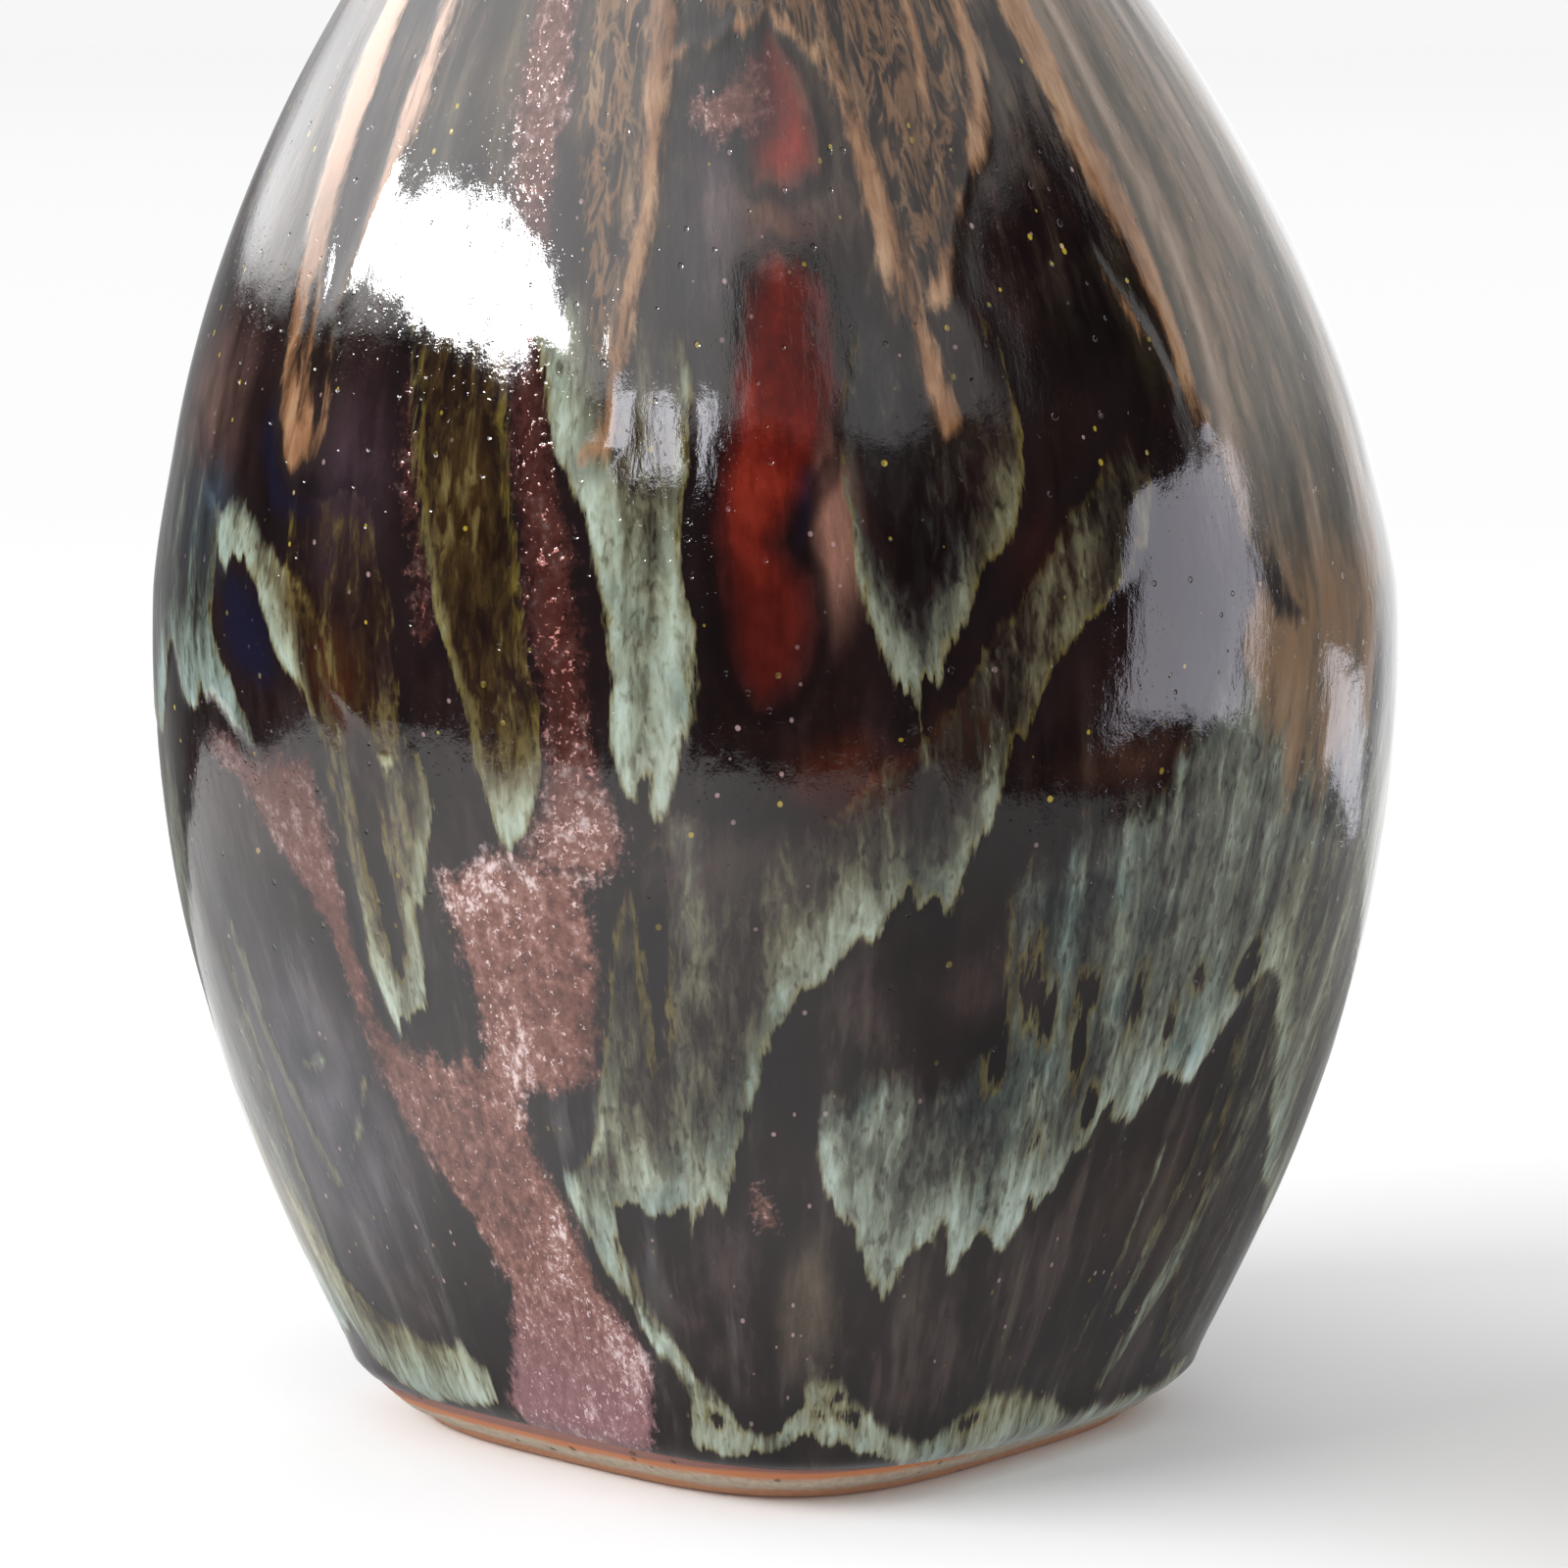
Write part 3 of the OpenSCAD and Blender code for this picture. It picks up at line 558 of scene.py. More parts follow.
def glaze_coat(columns, rows):
    """The fused outer glaze as a closed shell, with its runs and trails standing proud of it."""
    angle = np.linspace(0, 360, columns, endpoint=False)[None, :]
    low = glaze_line(angle)
    share = (even_heights(GLAZE_LINE_Z, COAT_TOP_Z, rows) - GLAZE_LINE_Z) / (COAT_TOP_Z - GLAZE_LINE_Z)
    z = low + (COAT_TOP_Z - low) * share[:, None]
    angle = np.broadcast_to(angle, z.shape)
    fields = glaze_fields(angle, z)

    bead = np.sqrt(np.clip((z - low) / BEAD_H, 0, 1))
    offset = (GLAZE_T + BEAD_T) * bead - GLAZE_T - BEAD_T * fade(z - low, 1.0, 5.0)
    offset += coat_relief(angle, z, fields) * fade(z - low, 0.2, 2.0)
    skin = wall_point(z, angle, outline_r(z) + offset)

    # over the lip, then back down between the coat and the clay
    lip_r = LIP_D / 2
    rim = ring_points([(lip_r - 0.15, HEIGHT - 0.35), (lip_r - 0.55, HEIGHT - 0.08), (lip_r - 1.1, HEIGHT),
                       (lip_r - 1.8, HEIGHT - 0.06), (MOUTH_R - 0.35, HEIGHT - 0.3),
                       (MOUTH_R - 0.9, HEIGHT - 1.0)], columns)
    inner_share = np.linspace(INNER_TOP_Z, 0, 26)[:, None] / INNER_TOP_Z
    inner_z = low + 0.05 + (INNER_TOP_Z - low) * inner_share
    inner = wall_point(inner_z, np.broadcast_to(angle[0], inner_z.shape), outline_r(inner_z) - GLAZE_T)
    points = np.concatenate([skin, rim, inner])
    piece = make_piece("glaze_coat", points, grid_faces(len(points), columns, close_rows=True))
    hidden_rows = len(points) - len(z)
    for name, values in fields.items():
        pad = np.repeat(values[-1:], hidden_rows, axis=0)
        store(piece, name, np.concatenate([values, pad]))
    return piece


def clay_body(columns):
    """The stoneware: shallow recess, foot ring and bare bevel below the glaze, wall and cavity above."""
    foot_r, recess_r = FOOT_W / 2, FOOT_W / 2 - FOOT_RING_W
    rings = [(recess_r - 0.6, RECESS_DEPTH), (recess_r, RECESS_DEPTH - 0.25), (recess_r + 0.5, 0.25),
             (recess_r + 1.0, 0.0), (foot_r - 1.0, 0.0), (foot_r - 0.3, 0.18), (foot_r, 0.5),
             (foot_r + 0.35, 0.9)]
    heights = [1.4, 2.0, 2.7, BEVEL_Z, 4.6, 7, 10] + list(np.linspace(14, HEIGHT - 1.9, 56))
    rings += [(float(outline_r(h)) - GLAZE_T * float(fade(h, 2.0, 6.0)) - CLAY_GAP, h) for h in heights]
    rings += [(LIP_D / 2 - GLAZE_T - 0.9, CLAY_TOP_Z), (MOUTH_R + 0.3, CLAY_TOP_Z)]
    return capped_piece("clay_body", rings + cavity_rings(-CLAY_GAP)[::-1], columns)


def cavity_rings(inset):
    """Radius and height of the inside from the floor to the mouth; inset moves it in from the clay."""
    rings = []
    floor_z = FLOOR_T + inset
    bore = BORE_R + GLAZE_T - inset
    for h in np.linspace(0, 1, 12):
        z = floor_z + CAVITY_ROUNDING * h
        r = float(outline_r(z)) - GLAZE_T - WALL - inset
        rings.append((max(2.0, r * math.sqrt(max(0.02, 1 - (1 - h) ** 2)) ** 0.9), z))
    for z in np.linspace(floor_z + CAVITY_ROUNDING + 3, CAVITY_TOP_Z - 1 - inset, 24):
        r = float(outline_r(z)) - GLAZE_T - WALL - inset
        rings.append((max(bore, r), z))
    for z in np.linspace(CAVITY_TOP_Z + 1, BORE_TOP_Z, 5):
        rings.append((bore, z))
    for t in np.linspace(0.15, 1, 8):
        flare = (MOUTH_R + 0.2 - inset - bore) * t ** 2
        rings.append((bore + flare, BORE_TOP_Z + (CLAY_TOP_Z - BORE_TOP_Z) * t))
    return rings


def liner_skin(columns):
    """The glaze inside, from the floor of the cavity up the bore to the flared mouth."""
    return capped_piece("liner_skin", cavity_rings(GLAZE_T) + cavity_rings(0.0)[::-1], columns)


# ---------------- material graphs
class Graph:
    """The nodes of a material or the world, with short names for the few kinds used. Lengths are in mm."""

    def __init__(self, name, world_tree=None):
        if world_tree is None:
            self.material = bpy.data.materials.new(name)
            self.material.use_nodes = True
        self.tree = world_tree or self.material.node_tree
        self.tree.nodes.clear()
        self.output = self.add("ShaderNodeOutputWorld" if world_tree else "ShaderNodeOutputMaterial")
        self.place = self.vector("SCALE", self.add("ShaderNodeTexCoord").outputs["Object"], scale=1 / MM)

    def add(self, kind, inputs=None, **settings):
        """A node with its settings, and a constant or a link on each given input."""
        node = self.tree.nodes.new(kind)
        for key, value in settings.items():
            setattr(node, key, value)
        for key, value in (inputs or {}).items():
            if isinstance(value, bpy.types.NodeSocket):
                self.tree.links.new(value, node.inputs[key])
            else:
                node.inputs[key].default_value = value
        return node

    def axes(self, vector):
        """The X, Y and Z of a vector."""
        node = self.add("ShaderNodeSeparateXYZ", {0: vector})
        return node.outputs["X"], node.outputs["Y"], node.outputs["Z"]

    def math(self, operation, a, b=0.0):
        return self.add("ShaderNodeMath", {0: a, 1: b}, operation=operation).outputs[0]

    def times(self, *values):
        """The product of the values."""
        result = values[0]
        for value in values[1:]:
            result = self.math("MULTIPLY", result, value)
        return result

    def total(self, *terms):
        """The sum of (value, weight) terms."""
        result = None
        for value, weight in terms:
            part = value if weight == 1 else self.times(value, weight)
            result = part if result is None else self.math("ADD", result, part)
        return result

    def most(self, *values):
        """The largest of the values."""
        result = values[0]
        for value in values[1:]:
            result = self.math("MAXIMUM", result, value)
        return result

    def length(self, x, y):
        return self.math("SQRT", self.math("ADD", self.times(x, x), self.times(y, y)))

    def vector(self, operation, a, b=(0, 0, 0), scale=1.0):
        inputs = {0: a, 3: scale} if operation == "SCALE" else {0: a, 1: b}
        return self.add("ShaderNodeVectorMath", inputs, operation=operation).outputs["Vector"]

    def step(self, value, low, high, start=0.0, stop=1.0):
        """A smooth step from start to stop, as value goes from low to high."""
        inputs = {"Value": value, "From Min": low, "From Max": high, "To Min": start, "To Max": stop}
        return self.add("ShaderNodeMapRange", inputs, interpolation_type="SMOOTHSTEP").outputs[0]

    def mix(self, factor, a, b, blend="MIX"):
        """A blend from colour a to colour b, each a socket or an 8-bit screen colour."""
        a, b = [(*linear(colour), 1.0) if isinstance(colour, tuple) else colour for colour in (a, b)]
        node = self.add("ShaderNodeMix", {0: factor, 6: a, 7: b}, data_type="RGBA", blend_type=blend)
        return node.outputs[2]

    def ramp(self, value, stops):
        """Colours blended over (value, colour) stops."""
        low, high = stops[0][0], stops[-1][0]
        share = self.add("ShaderNodeMapRange", {"Value": value, "From Min": low, "From Max": high})
        node = self.add("ShaderNodeValToRGB", {0: share.outputs[0]})
        elements = node.color_ramp.elements
        for at, _ in stops[1:-1]:
            elements.new((at - low) / (high - low))
        for element, (_, colour) in zip(elements, stops):
            element.color = (*linear(colour), 1.0)
        return node.outputs[0]

    def read(self, name, output="Fac"):
        """A field that the mesh keeps for each point."""
        return self.add("ShaderNodeAttribute", attribute_name=name).outputs[output]

    def stretched(self, across, up):
        return self.vector("MULTIPLY", self.place, (1 / across, 1 / across, 1 / up))

    def noise(self, across, up, detail=3.0, rough=0.55, twist=0.0):
        """Noise from about -1 to 1 with features across mm wide and up mm tall."""
        inputs = {"Vector": self.stretched(across, up), "Scale": 1.0, "Detail": detail, "Roughness": rough,
                  "Distortion": twist}
        value = self.add("ShaderNodeTexNoise", inputs).outputs[0]
        return self.times(self.math("SUBTRACT", value, 0.5), 3.0)

    def cells(self, across, up):
        return self.add("ShaderNodeTexVoronoi", {"Vector": self.stretched(across, up), "Scale": 1.0})

    def shade(self, colour, roughness, normal, ior=1.52):
        inputs = {"Base Color": colour, "Roughness": roughness, "IOR": ior, "Normal": normal}
        shader = self.add("ShaderNodeBsdfPrincipled", inputs)
        self.tree.links.new(shader.outputs[0], self.output.inputs["Surface"])
        return self.material

    def bump(self, height, strength, distance):
        inputs = {"Height": height, "Strength": strength, "Distance": distance * MM}
        return self.add("ShaderNodeBump", inputs).outputs[0]


def specks(graph, cell, channel, share, size):
    """Small scattered dots, 1 inside and 0 outside. A share of the cells, picked by a channel, holds one."""
    random = graph.add("ShaderNodeSeparateColor", {0: cell.outputs["Color"]}).outputs[channel]
    radius = graph.step(random, 1 - share, 1.0, 0.0, size)
    return graph.step(graph.math("SUBTRACT", radius, cell.outputs["Distance"]), -0.02, 0.05)


class GlazeGraph(Graph):
    """The graph of the fused glaze, with the fields and noises that its layers share."""

    def __init__(self):
        super().__init__("run_together_glaze")
        self.place = self.read("flow", "Vector")
        self.side, _, self.height = self.axes(self.place)
        self.streak, self.cloud, self.pale = self.read("streak"), self.read("cloud"), self.read("pale")
        self.fibre = self.noise(0.75, 2.6, detail=4.0, rough=0.62, twist=0.5)
        self.comb = self.noise(0.5, 2.6, detail=3.0, rough=0.6)
        self.grain = self.noise(0.26, 0.32, detail=3.0, rough=0.7)
        self.flake = self.noise(0.9, 1.0, detail=2.5, rough=0.75)
        self.strand = self.total((self.streak, 0.7), (self.fibre, 0.9))
        self.dots = self.cells(1.1, 1.2)
        self.crystals = self.total((self.noise(0.5, 0.5, detail=2.0, rough=0.8), 1), (self.cloud, 0.14))
        self.brick = self.total((self.read("brick"), 1), (self.cloud, 0.5), (self.strand, 0.4),
                                (self.grain, 0.5), (self.flake, 1))


def dark_layer(g):
    """The dark glaze, clouded and streaked, with tiny coloured specks; its paler mottle low down is partly a
    painted reflection of the table top.
    """
    swell = g.step(g.total((g.cloud, 0.5), (g.strand, 0.45), (g.grain, 0.2)), -1.0, 1.3, 0.4, 1.8)
    colour = g.vector("SCALE", g.read("wash", "Vector"), scale=swell)
    haze = g.step(g.total((g.cloud, 0.6), (g.strand, 0.9)), -0.2, 1.5, 0.0, 0.6)
    # below about 50 mm the grey mottle and the veins, grey at the left and olive at the right, are partly the
    # glaze's own and partly a painted reflection of the pale table top
    low = g.step(g.height, 62.0, 40.0)
    colour = g.mix(g.times(haze, low), colour, (74, 62, 60))
    veins_and_painted_reflection = g.times(g.step(g.total((g.comb, 0.7), (g.streak, 0.7)), 0.1, 1.3, 0.0, 0.35), low)
    colour = g.mix(veins_and_painted_reflection, colour, g.mix(g.step(g.side, -12.0, 8.0), (98, 102, 104), (88, 86, 70)))
    colour = g.mix(g.times(haze, g.step(g.height, 78.0, 92.0)), colour, (104, 90, 76))
    yellow = g.times(specks(g, g.dots, 0, 0.2, 0.2), g.step(g.height, 38.0, 52.0, 0.2, 0.8))
    colour = g.mix(yellow, colour, (176, 156, 56))
    return g.mix(g.times(specks(g, g.dots, 1, 0.22, 0.17), 0.6), colour, (176, 146, 148))


def oxblood_layer(g, colour):
    """Red glaze with a dark outline, brighter above than below, and navy patches beside it."""
    red = g.total((g.read("red"), 1), (g.cloud, 0.25), (g.strand, 0.3))
    outline = g.times(g.step(red, -1.4, -0.5), g.step(red, 0.6, 0.0))
    colour = g.mix(g.times(outline, 0.7), colour, (16, 8, 9))
    tone = g.ramp(g.total((g.strand, 0.5), (g.cloud, 0.7), (g.flake, 0.3)),
                  [(-1.0, (44, 12, 9)), (0.0, (84, 21, 14)), (1.0, (122, 40, 28))])
    tone = g.mix(g.step(g.height, 72.0, 60.0, 0.0, 0.7), tone, (46, 13, 10))
    colour = g.mix(g.step(red, -0.4, 2.2), colour, tone)
    navy = g.step(g.total((g.read("navy"), 1), (g.cloud, 0.3), (g.strand, 0.3)), -0.6, 1.6)
    return g.mix(g.times(navy, 0.85), colour, (18, 18, 38))


def brick_layer(g, colour):
    """Brick-red areas that grow pale crystals, pinker near the foot and darker high up."""
    colour = g.mix(g.step(g.brick, -2.2, -0.6, 0.0, 0.5), colour, (24, 17, 20))
    upper = g.times(g.step(g.height, 42.0, 58.0), g.step(g.height, 84.0, 92.0, 1.0, 0.6))
    tone = g.ramp(g.total((g.flake, 1), (g.cloud, 0.3)),
                  [(-0.8, (72, 42, 36)), (-0.1, (108, 70, 61)), (0.35, (134, 96, 87)),
                   (0.9, (208, 188, 186))])
    tone = g.mix(g.step(g.height, 18.0, 5.0, 0.0, 0.45), tone, (140, 106, 118))
    tone = g.mix(g.step(g.side, -27.0, -32.0, 0.0, 0.6), tone, (74, 42, 36))
    tone = g.mix(g.times(upper, 0.85), tone, (52, 20, 17))
    dense = g.math("ADD", g.crystals, g.step(g.side, -32.0, -27.0, -0.35, 0.0))
    tone = g.mix(g.step(dense, 0.3, 0.6, 0.0, 0.85), tone, g.mix(upper, (210, 188, 188), (196, 130, 122)))
    return g.mix(g.step(g.brick, -0.7, 0.9), colour, tone)


def ash_tones(g, ash):
    """Colour of the pale runs: celadon or amber strands with dark lens-shaped gaps and a yellow edge."""
    gap = g.step(g.noise(0.55, 1.25, detail=1.5, rough=0.5, twist=0.4), 0.15, 0.7)
    tone = g.total((g.pale, 0.9), (g.strand, 0.42), (g.comb, 0.16), (gap, -0.26))
    celadon = g.ramp(tone, [(-0.1, (32, 29, 30)), (0.25, (58, 57, 53)), (0.55, (94, 98, 86)),
                            (0.85, (136, 144, 130)), (1.15, (166, 180, 170)), (1.5, (192, 208, 204))])
    bluish = g.mix(1.0, celadon, (184, 208, 226), "MULTIPLY")
    cold = g.most(g.step(g.cloud, -0.1, -1.1, 0.0, 0.7), g.step(g.side, -32.0, -37.0, 0.0, 0.5))
    celadon = g.mix(cold, celadon, bluish)
    amber = g.ramp(tone, [(-0.2, (26, 17, 12)), (0.2, (56, 42, 22)), (0.6, (104, 92, 56)),
                          (1.0, (150, 150, 112))])
    colour = g.mix(g.read("amber"), celadon, amber)
    edge = g.times(g.step(ash, 0.75, 0.1), g.step(g.fibre, -0.8, 0.5))
    return g.mix(g.times(edge, 0.65), colour, (112, 98, 40))


def ash_layer(g, colour):
    """Pale ash runs with a dark halo, thinning out upwards into the dark glaze."""
    ash = g.total((g.read("ash"), 1), (g.streak, 0.3), (g.comb, 0.75))
    halo = g.times(g.step(ash, -2.2, -0.2), g.step(ash, 0.3, -0.1))
    colour = g.mix(g.times(halo, 0.45), colour, (18, 14, 16))
    body = g.total((g.read("body"), 1), (g.strand, 0.3))
    cover = g.times(g.step(ash, -0.1, 0.3), g.step(body, 0.0, 0.8, 0.0, 0.95))
    thick = g.step(g.total((g.pale, 1.7), (g.fibre, 0.8)), -0.3, 0.6)
    return g.mix(g.times(cover, thick), colour, ash_tones(g, ash))


def ochre_layer(g, colour):
    """Ochre from the shoulder: a thin smear, a lace of thin strands, and thick trails."""
    tone = g.ramp(g.total((g.strand, 1), (g.cloud, 0.6)),
                  [(-1.2, (88, 64, 44)), (0.0, (134, 96, 68)), (1.2, (166, 134, 104))])
    # painted light: the ochre is paler high on the left, the side that the window lights and that mirrors it
    painted_window_light = g.times(g.step(g.height, 78.0, 98.0), g.step(g.side, -14.0, -28.0, 0.0, 0.85))
    tone = g.mix(painted_window_light, tone, (210, 178, 160))

    band = g.total((g.noise(3.2, 30.0, detail=2.0), 1), (g.strand, 0.5))
    smear_tone = g.ramp(band, [(-1.0, (48, 45, 40)), (-0.3, (88, 79, 67)), (0.2, (126, 109, 94)),
                               (0.9, (160, 143, 131))])
    tan = g.times(g.step(g.height, 67.0, 61.0), g.step(g.strand, -0.9, 0.7, 0.2, 0.75))
    smear_tone = g.mix(tan, smear_tone, (128, 94, 58))
    smear = g.total((g.read("smear"), 1), (g.strand, 1.2))
    colour = g.mix(g.step(smear, -0.6, 1.4, 0.0, 0.85), colour, smear_tone)

    net = g.noise(1.7, 4.6, detail=3.0, rough=0.6, twist=0.9)
    thread = g.math("SUBTRACT", 0.22, g.math("ABSOLUTE", net))
    thread = g.total((thread, 2.2), (g.fibre, 0.35), (g.step(g.read("lace"), -2.0, 2.0, -2.0, 0.0), 1))
    colour = g.mix(g.step(thread, -0.9, -0.1, 0.0, 0.4), colour, (44, 34, 26))
    colour = g.mix(g.step(thread, -0.25, 0.5, 0.0, 0.75), colour, g.mix(0.35, tone, (70, 56, 30)))

    trail = g.total((g.read("ochre"), 1), (g.strand, 0.8))
    colour = g.mix(g.step(trail, -1.4, -0.2, 0.0, 0.4), colour, (40, 34, 28))
    return g.mix(g.step(trail, -0.3, 0.9, 0.0, 0.9), colour, tone)


def glaze_material():
    """Dark iron glaze with brick, oxblood and navy areas under streaked pale ash runs and ochre trails."""
    g = GlazeGraph()
    colour = dark_layer(g)
    for layer in (oxblood_layer, brick_layer, ash_layer, ochre_layer):
        colour = layer(g, colour)
    # strands and crystals stand up a little, pinholes go in
    raised = g.times(g.step(g.crystals, 0.3, 0.9), g.step(g.brick, -0.5, 0.8, 0.2, 0.8))
    relief = g.total((g.fibre, 0.16), (g.grain, 0.05), (g.noise(1.5, 2.0, detail=1.0), 0.2), (raised, 1),
                     (specks(g, g.dots, 2, 0.45, 0.2), -1))
    return g.shade(colour, 0.03, g.bump(relief, 0.6, 0.05), ior=1.53)


def clay_material():
    """Bare stoneware: grey buff between two thin toasted orange lines, pinkish where the glaze stops."""
    g = Graph("bare_stoneware")
    height = g.total((g.axes(g.place)[2], 1), (g.noise(6.0, 1.0), 0.2))
    grain = g.noise(0.6, 0.6, detail=4.0)
    colour = g.mix(g.step(grain, -0.9, 0.9), (160, 144, 126), (186, 172, 152))
    toast = g.most(g.step(height, 1.9, 2.4), g.step(height, 1.0, 0.6, 0.0, 0.7))
    colour = g.mix(toast, colour, (186, 116, 72))
    colour = g.mix(g.step(height, 2.5, 2.9), colour, (132, 92, 84))
    colour = g.mix(g.times(specks(g, g.cells(1.4, 1.4), 0, 0.3, 0.25), 0.7), colour, (70, 46, 36))
    return g.shade(colour, 0.75, g.bump(grain, 0.4, 0.12))


def liner_material():
    """Plain grey-green liner glaze with a faint mottle."""
    g = Graph("liner_glaze_inside")
    colour = g.mix(g.step(g.noise(4.0, 6.0, detail=4.0), -0.9, 0.9), (96, 92, 74), (138, 136, 112))
    colour = g.mix(g.times(specks(g, g.cells(1.6, 1.6), 0, 0.3, 0.25), 0.7), colour, (70, 48, 30))
    return g.shade(colour, 0.12, g.bump(g.noise(1.0, 1.0), 0.3, 0.05))


# ---------------- pieces
def place(piece, material, slot, *nodes):
    """Gives a piece its material and ties it to the frame."""
    piece.data.materials.append(material)
    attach(piece, "root")
    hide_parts(*nodes)


COLUMNS, ROWS = ((720, 400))
place(glaze_coat(COLUMNS, ROWS), glaze_material(), "iron_glaze",
      "iron_glaze", "ash_glaze_runs", "ochre_trails")
place(clay_body(240), clay_material(), "stoneware", "stoneware_body")
place(liner_skin(180), liner_material(), "liner_glaze", "liner_glaze")


# ---------------- studio
ROOM_GLOW, SOFT_LIGHT = 0.04, 0.93  # the dark room as mirrored, and the even light on everything
AIM_Z = 70.0  # the windows are aimed at this height on the vase
# how far the mirrored table top reaches from the vase on each side, and how round its front corners are
TABLE_LEFT, TABLE_RIGHT, TABLE_FRONT, TABLE_BACK, TABLE_CORNER = 183.0, 145.0, 313.0, 120.0, 110.0
# the photo's camera, fitted together with the outline: place in mm, degrees of downward tilt, lens in mm
CAMERA_PLACE, CAMERA_TILT, CAMERA_LENS = (0.41, -400.0, 104.0), 8.35, 130.8


def direction(azimuth, elevation):
    """A unit vector, azimuth 0 towards the viewer (-Y) and turning towards +X."""
    a, e = math.radians(azimuth), math.radians(elevation)
    return Vector((math.sin(a) * math.cos(e), -math.cos(a) * math.cos(e), math.sin(e)))


def window(name, azimuths, elevations, radiance, distance=1.5, colour=(1, 1, 1), glossy=True,
           shape="RECTANGLE", tilt=0.0):
    """A patch of light over the given degrees as seen from the vase, either mirrored or lighting softly.

    The radiance is the brightness of its face, the distance is in metres, and tilt turns it in degrees."""
    middle = direction(sum(azimuths) / 2, sum(elevations) / 2)
    light = bpy.data.lights.new(name, "AREA")
    light.shape = shape
    span = math.radians(azimuths[1] - azimuths[0]) * math.cos(math.radians(sum(elevations) / 2))
    light.size = 2 * distance * math.tan(span / 2)
    light.size_y = 2 * distance * math.tan(math.radians(elevations[1] - elevations[0]) / 2)
    light.energy = radiance * math.pi * light.size * light.size_y
    light.color = colour
    lamp = bpy.data.objects.new(name, light)
    lamp.location = Vector((0, 0, AIM_Z * MM)) + middle * distance
    turn = middle.to_track_quat("Z", "Y") @ Quaternion((0, 0, 1), math.radians(tilt))
    lamp.rotation_euler = turn.to_euler()
    lamp.visible_camera = False
    lamp.visible_diffuse = not glossy
    lamp.visible_glossy = glossy
    bpy.context.scene.collection.objects.link(lamp)


def window_side(g, azimuth, elevation):
    """The wall and ceiling lit by the window, at the left and above its sill, with one upright in front."""
    sill = g.math("MINIMUM", g.total((azimuth, 0.26), (45.5, 1)), 27.0)
    above_sill = g.step(g.math("SUBTRACT", elevation, sill), -1.5, 2.5)
    wall = g.times(g.step(azimuth, -160, -140, 0.2, 1.0), g.step(azimuth, -70, 35, 3.6, 1.0))
    wall = g.times(wall, above_sill, g.step(azimuth, 62, 46))
    upright = g.times(g.step(azimuth, -9, -5), g.step(azimuth, 16, 11), g.step(elevation, 47, 42))
    return g.times(wall, g.math("SUBTRACT", 1.0, g.times(upright, 0.8)))


def studio_world():
    """White to the eye. The glaze mirrors a dark room, with glows at both sides and a white sweep behind."""
    world = bpy.data.worlds.new("studio")
    bpy.context.scene.world = world
    world.use_nodes = True
    g = Graph("world", world.node_tree)
    x, y, z = g.axes(g.add("ShaderNodeTexCoord").outputs["Generated"])
    azimuth = g.math("DEGREES", g.math("ARCTAN2", x, g.times(y, -1.0)))
    elevation = g.math("DEGREES", g.math("ARCSINE", z))

    # a pale wall at the right, with a dark doorway in front of it
    right = g.times(g.step(azimuth, 90, 97, 0.0, 1.1), g.step(elevation, 2, 16, 0.3, 1.0))
    top = g.times(g.step(elevation, 40, 47), g.step(azimuth, 15, 60))
    behind = g.times(g.step(y, 0.6, 0.9), g.step(x, -0.3, 0.3, 0.3, 1.5))
    glow = g.most(window_side(g, azimuth, elevation), right, top, behind, ROOM_GLOW)

    mirrored = g.add("ShaderNodeLightPath").outputs["Is Glossy Ray"]
    strength = g.total((g.times(g.math("SUBTRACT", glow, SOFT_LIGHT), mirrored), 1), (SOFT_LIGHT, 1))
    background = g.add("ShaderNodeBackground", {"Color": (1, 1, 1, 1), "Strength": strength})
    g.tree.links.new(background.outputs[0], g.output.inputs["Surface"])


def past_table(g, x, y):
    """0 on the mirrored table top and 1 past its slanted left, right, rounded front and back edges."""
    left = g.total((x, -1.0), (y, -0.27), (-TABLE_LEFT, 1))
    side = g.most(left, g.math("SUBTRACT", x, TABLE_RIGHT))
    front = g.total((y, -1.0), (-TABLE_FRONT, 1))
    corner = [g.most(g.math("ADD", edge, TABLE_CORNER), 0.0) for edge in (side, front)]
    return g.most(g.step(g.length(*corner), TABLE_CORNER, TABLE_CORNER + 4.0),
                  g.step(y, TABLE_BACK, TABLE_BACK + 4.0))


def table_light(g, x, distance):
    """How bright the mirrored table top is: more at the left, less close to the vase and at its right."""
    light = g.times(g.step(x, -75.0, 0.0, 1.4, 1.0), g.step(distance, 22.0, 60.0, 0.35, 1.0))
    near_dark = g.times(g.step(x, 0.0, 60.0), g.step(distance, 45.0, 190.0, 0.72, 0.3))
    return g.times(light, g.math("SUBTRACT", 0.96, near_dark))


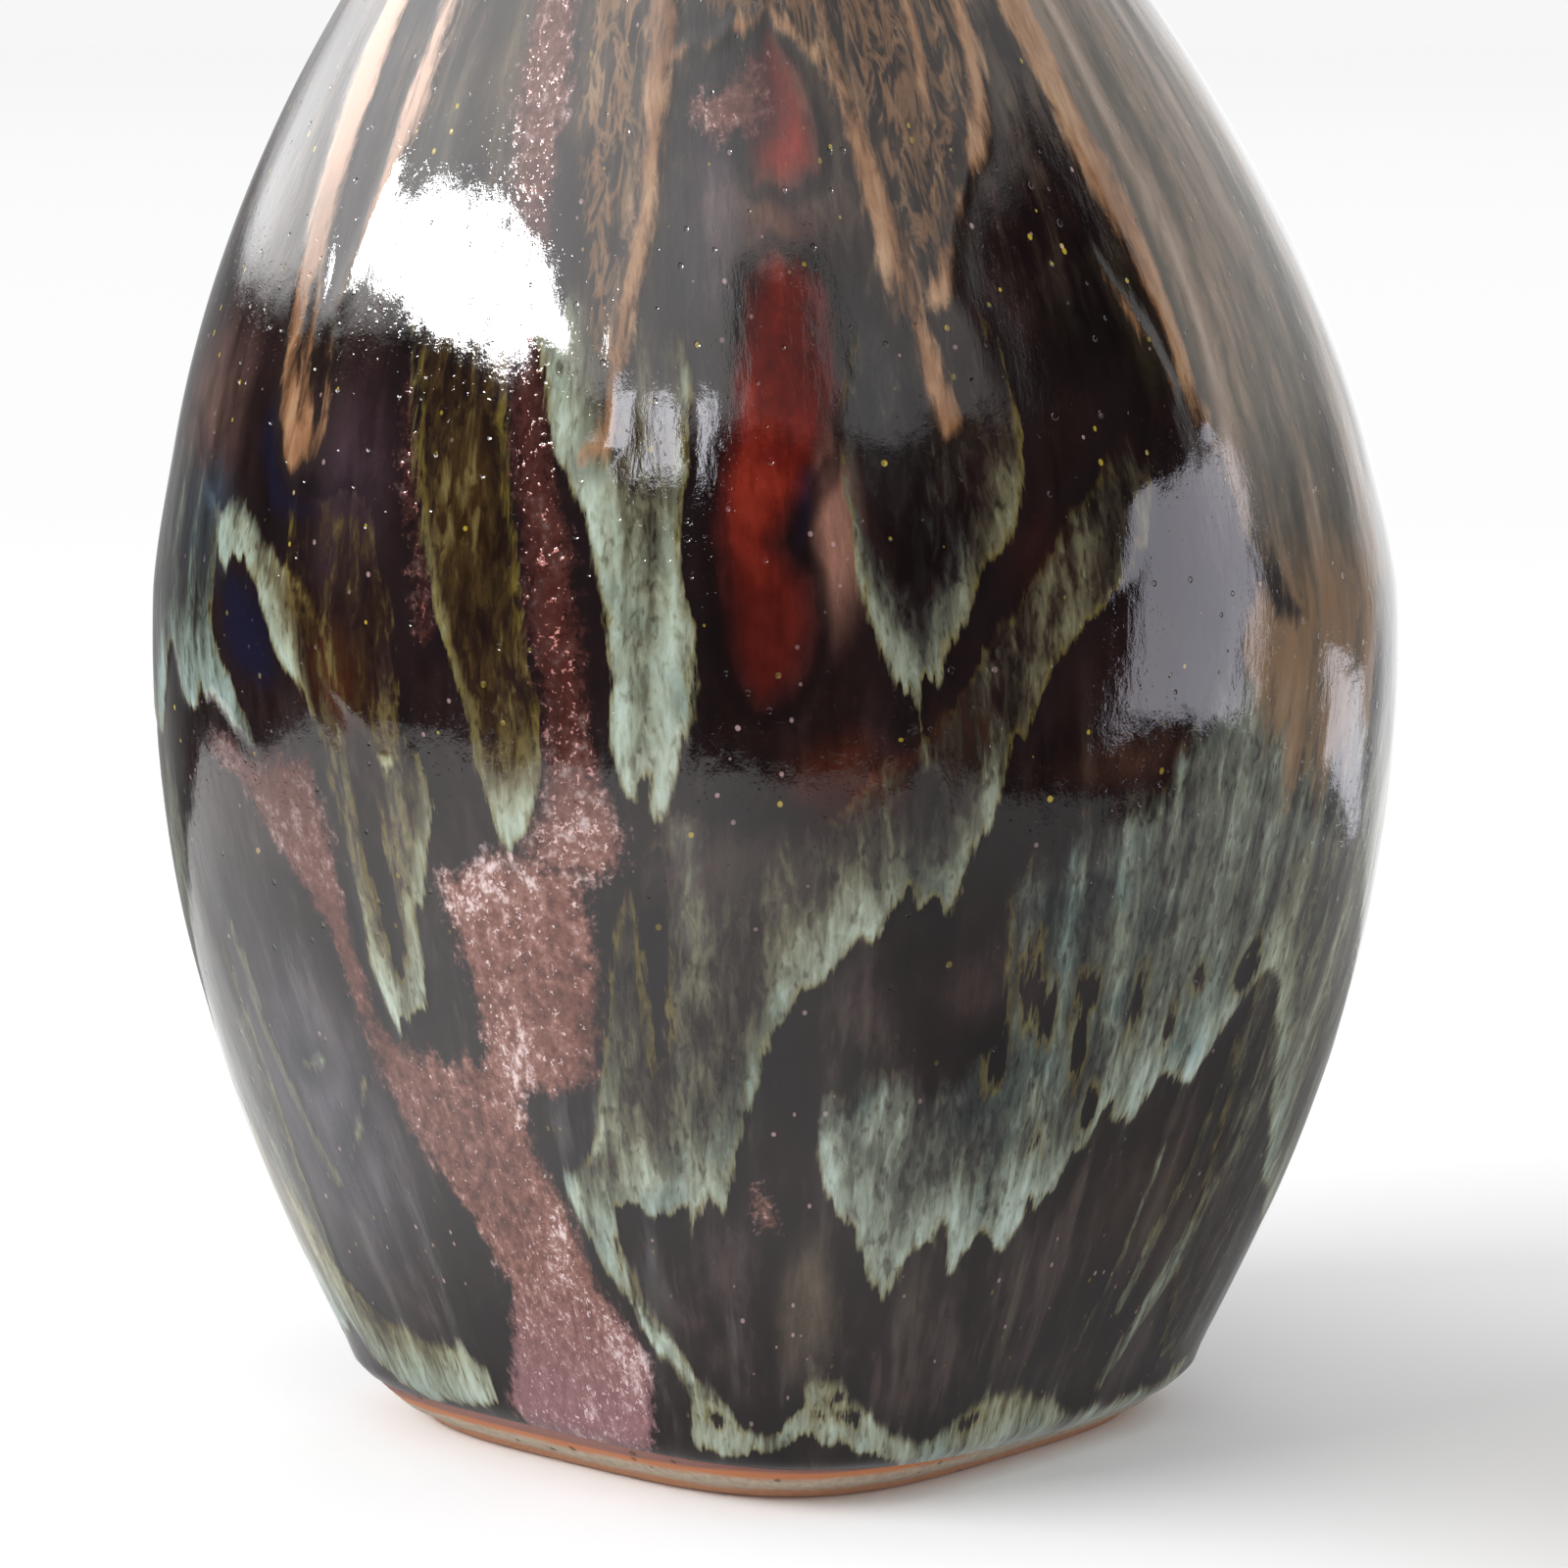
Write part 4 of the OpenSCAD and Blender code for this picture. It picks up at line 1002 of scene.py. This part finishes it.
def studio_floor():
    """A pale floor. Seen in the glaze it is a rounded table top with the dark room beyond its edge."""
    bpy.ops.mesh.primitive_circle_add(vertices=96, radius=6.0, fill_type="NGON")
    floor = bpy.context.object
    floor.name = "floor"
    g = Graph("pale_floor")
    x, y, _ = g.axes(g.place)
    distance = g.length(x, y)
    mirrored = g.add("ShaderNodeLightPath").outputs["Is Glossy Ray"]

    # painted shadow: the floor colour is darker in front of the vase and to its right
    painted_shadow = g.times(g.step(x, 10.0, 80.0), g.step(y, 40.0, -30.0))
    matt = g.add("ShaderNodeBsdfDiffuse", {"Color": g.mix(painted_shadow, (249, 249, 250), (207, 205, 203))})
    # far off, the floor turns into an evenly white sweep
    white = g.step(distance, 300.0, 5000.0, 0.985, 0.925)
    sweep = g.add("ShaderNodeEmission", {"Color": (1, 1, 1, 1), "Strength": white})
    table = g.add("ShaderNodeEmission", {"Color": (1, 1, 1, 1), "Strength": table_light(g, x, distance)})
    clear = g.add("ShaderNodeBsdfTransparent")

    surface = matt
    for share, layer in ((g.step(distance, 180.0, 700.0), sweep), (mirrored, table),
                         (g.times(past_table(g, x, y), mirrored), clear)):
        surface = g.add("ShaderNodeMixShader", {0: share, 1: surface.outputs[0], 2: layer.outputs[0]})
    g.tree.links.new(surface.outputs[0], g.output.inputs["Surface"])
    floor.data.materials.append(g.material)


def photo_camera():
    """A long lens from the front, looking slightly down."""
    data = bpy.data.cameras.new("camera")
    data.sensor_width = 36.0
    data.lens = CAMERA_LENS
    data.clip_start = 0.01
    camera = bpy.data.objects.new("camera", data)
    camera.location = Vector(CAMERA_PLACE) * MM
    camera.rotation_euler = (math.radians(90 - CAMERA_TILT), 0, 0)
    bpy.context.scene.collection.objects.link(camera)
    bpy.context.scene.camera = camera


studio_world()
studio_floor()
window("main_window", (-91, -42), (25.5, 38), 14.0, glossy=False)
window("main_window_glare", (-99, -41), (27.0, 36.8), 60.0, distance=1.35, shape="ELLIPSE", tilt=6.6)
window("small_pane", (-24, -14), (19.8, 29.6), 10.0, colour=(0.93, 0.93, 1.0))
window("right_panel", (70, 99), (-17, 15), 3.6, colour=(0.90, 0.89, 1.0))
window("right_slit", (120, 134), (-17, -10), 2.6, colour=(0.92, 0.91, 1.0))
photo_camera()
bpy.context.scene.view_settings.view_transform = "Standard"
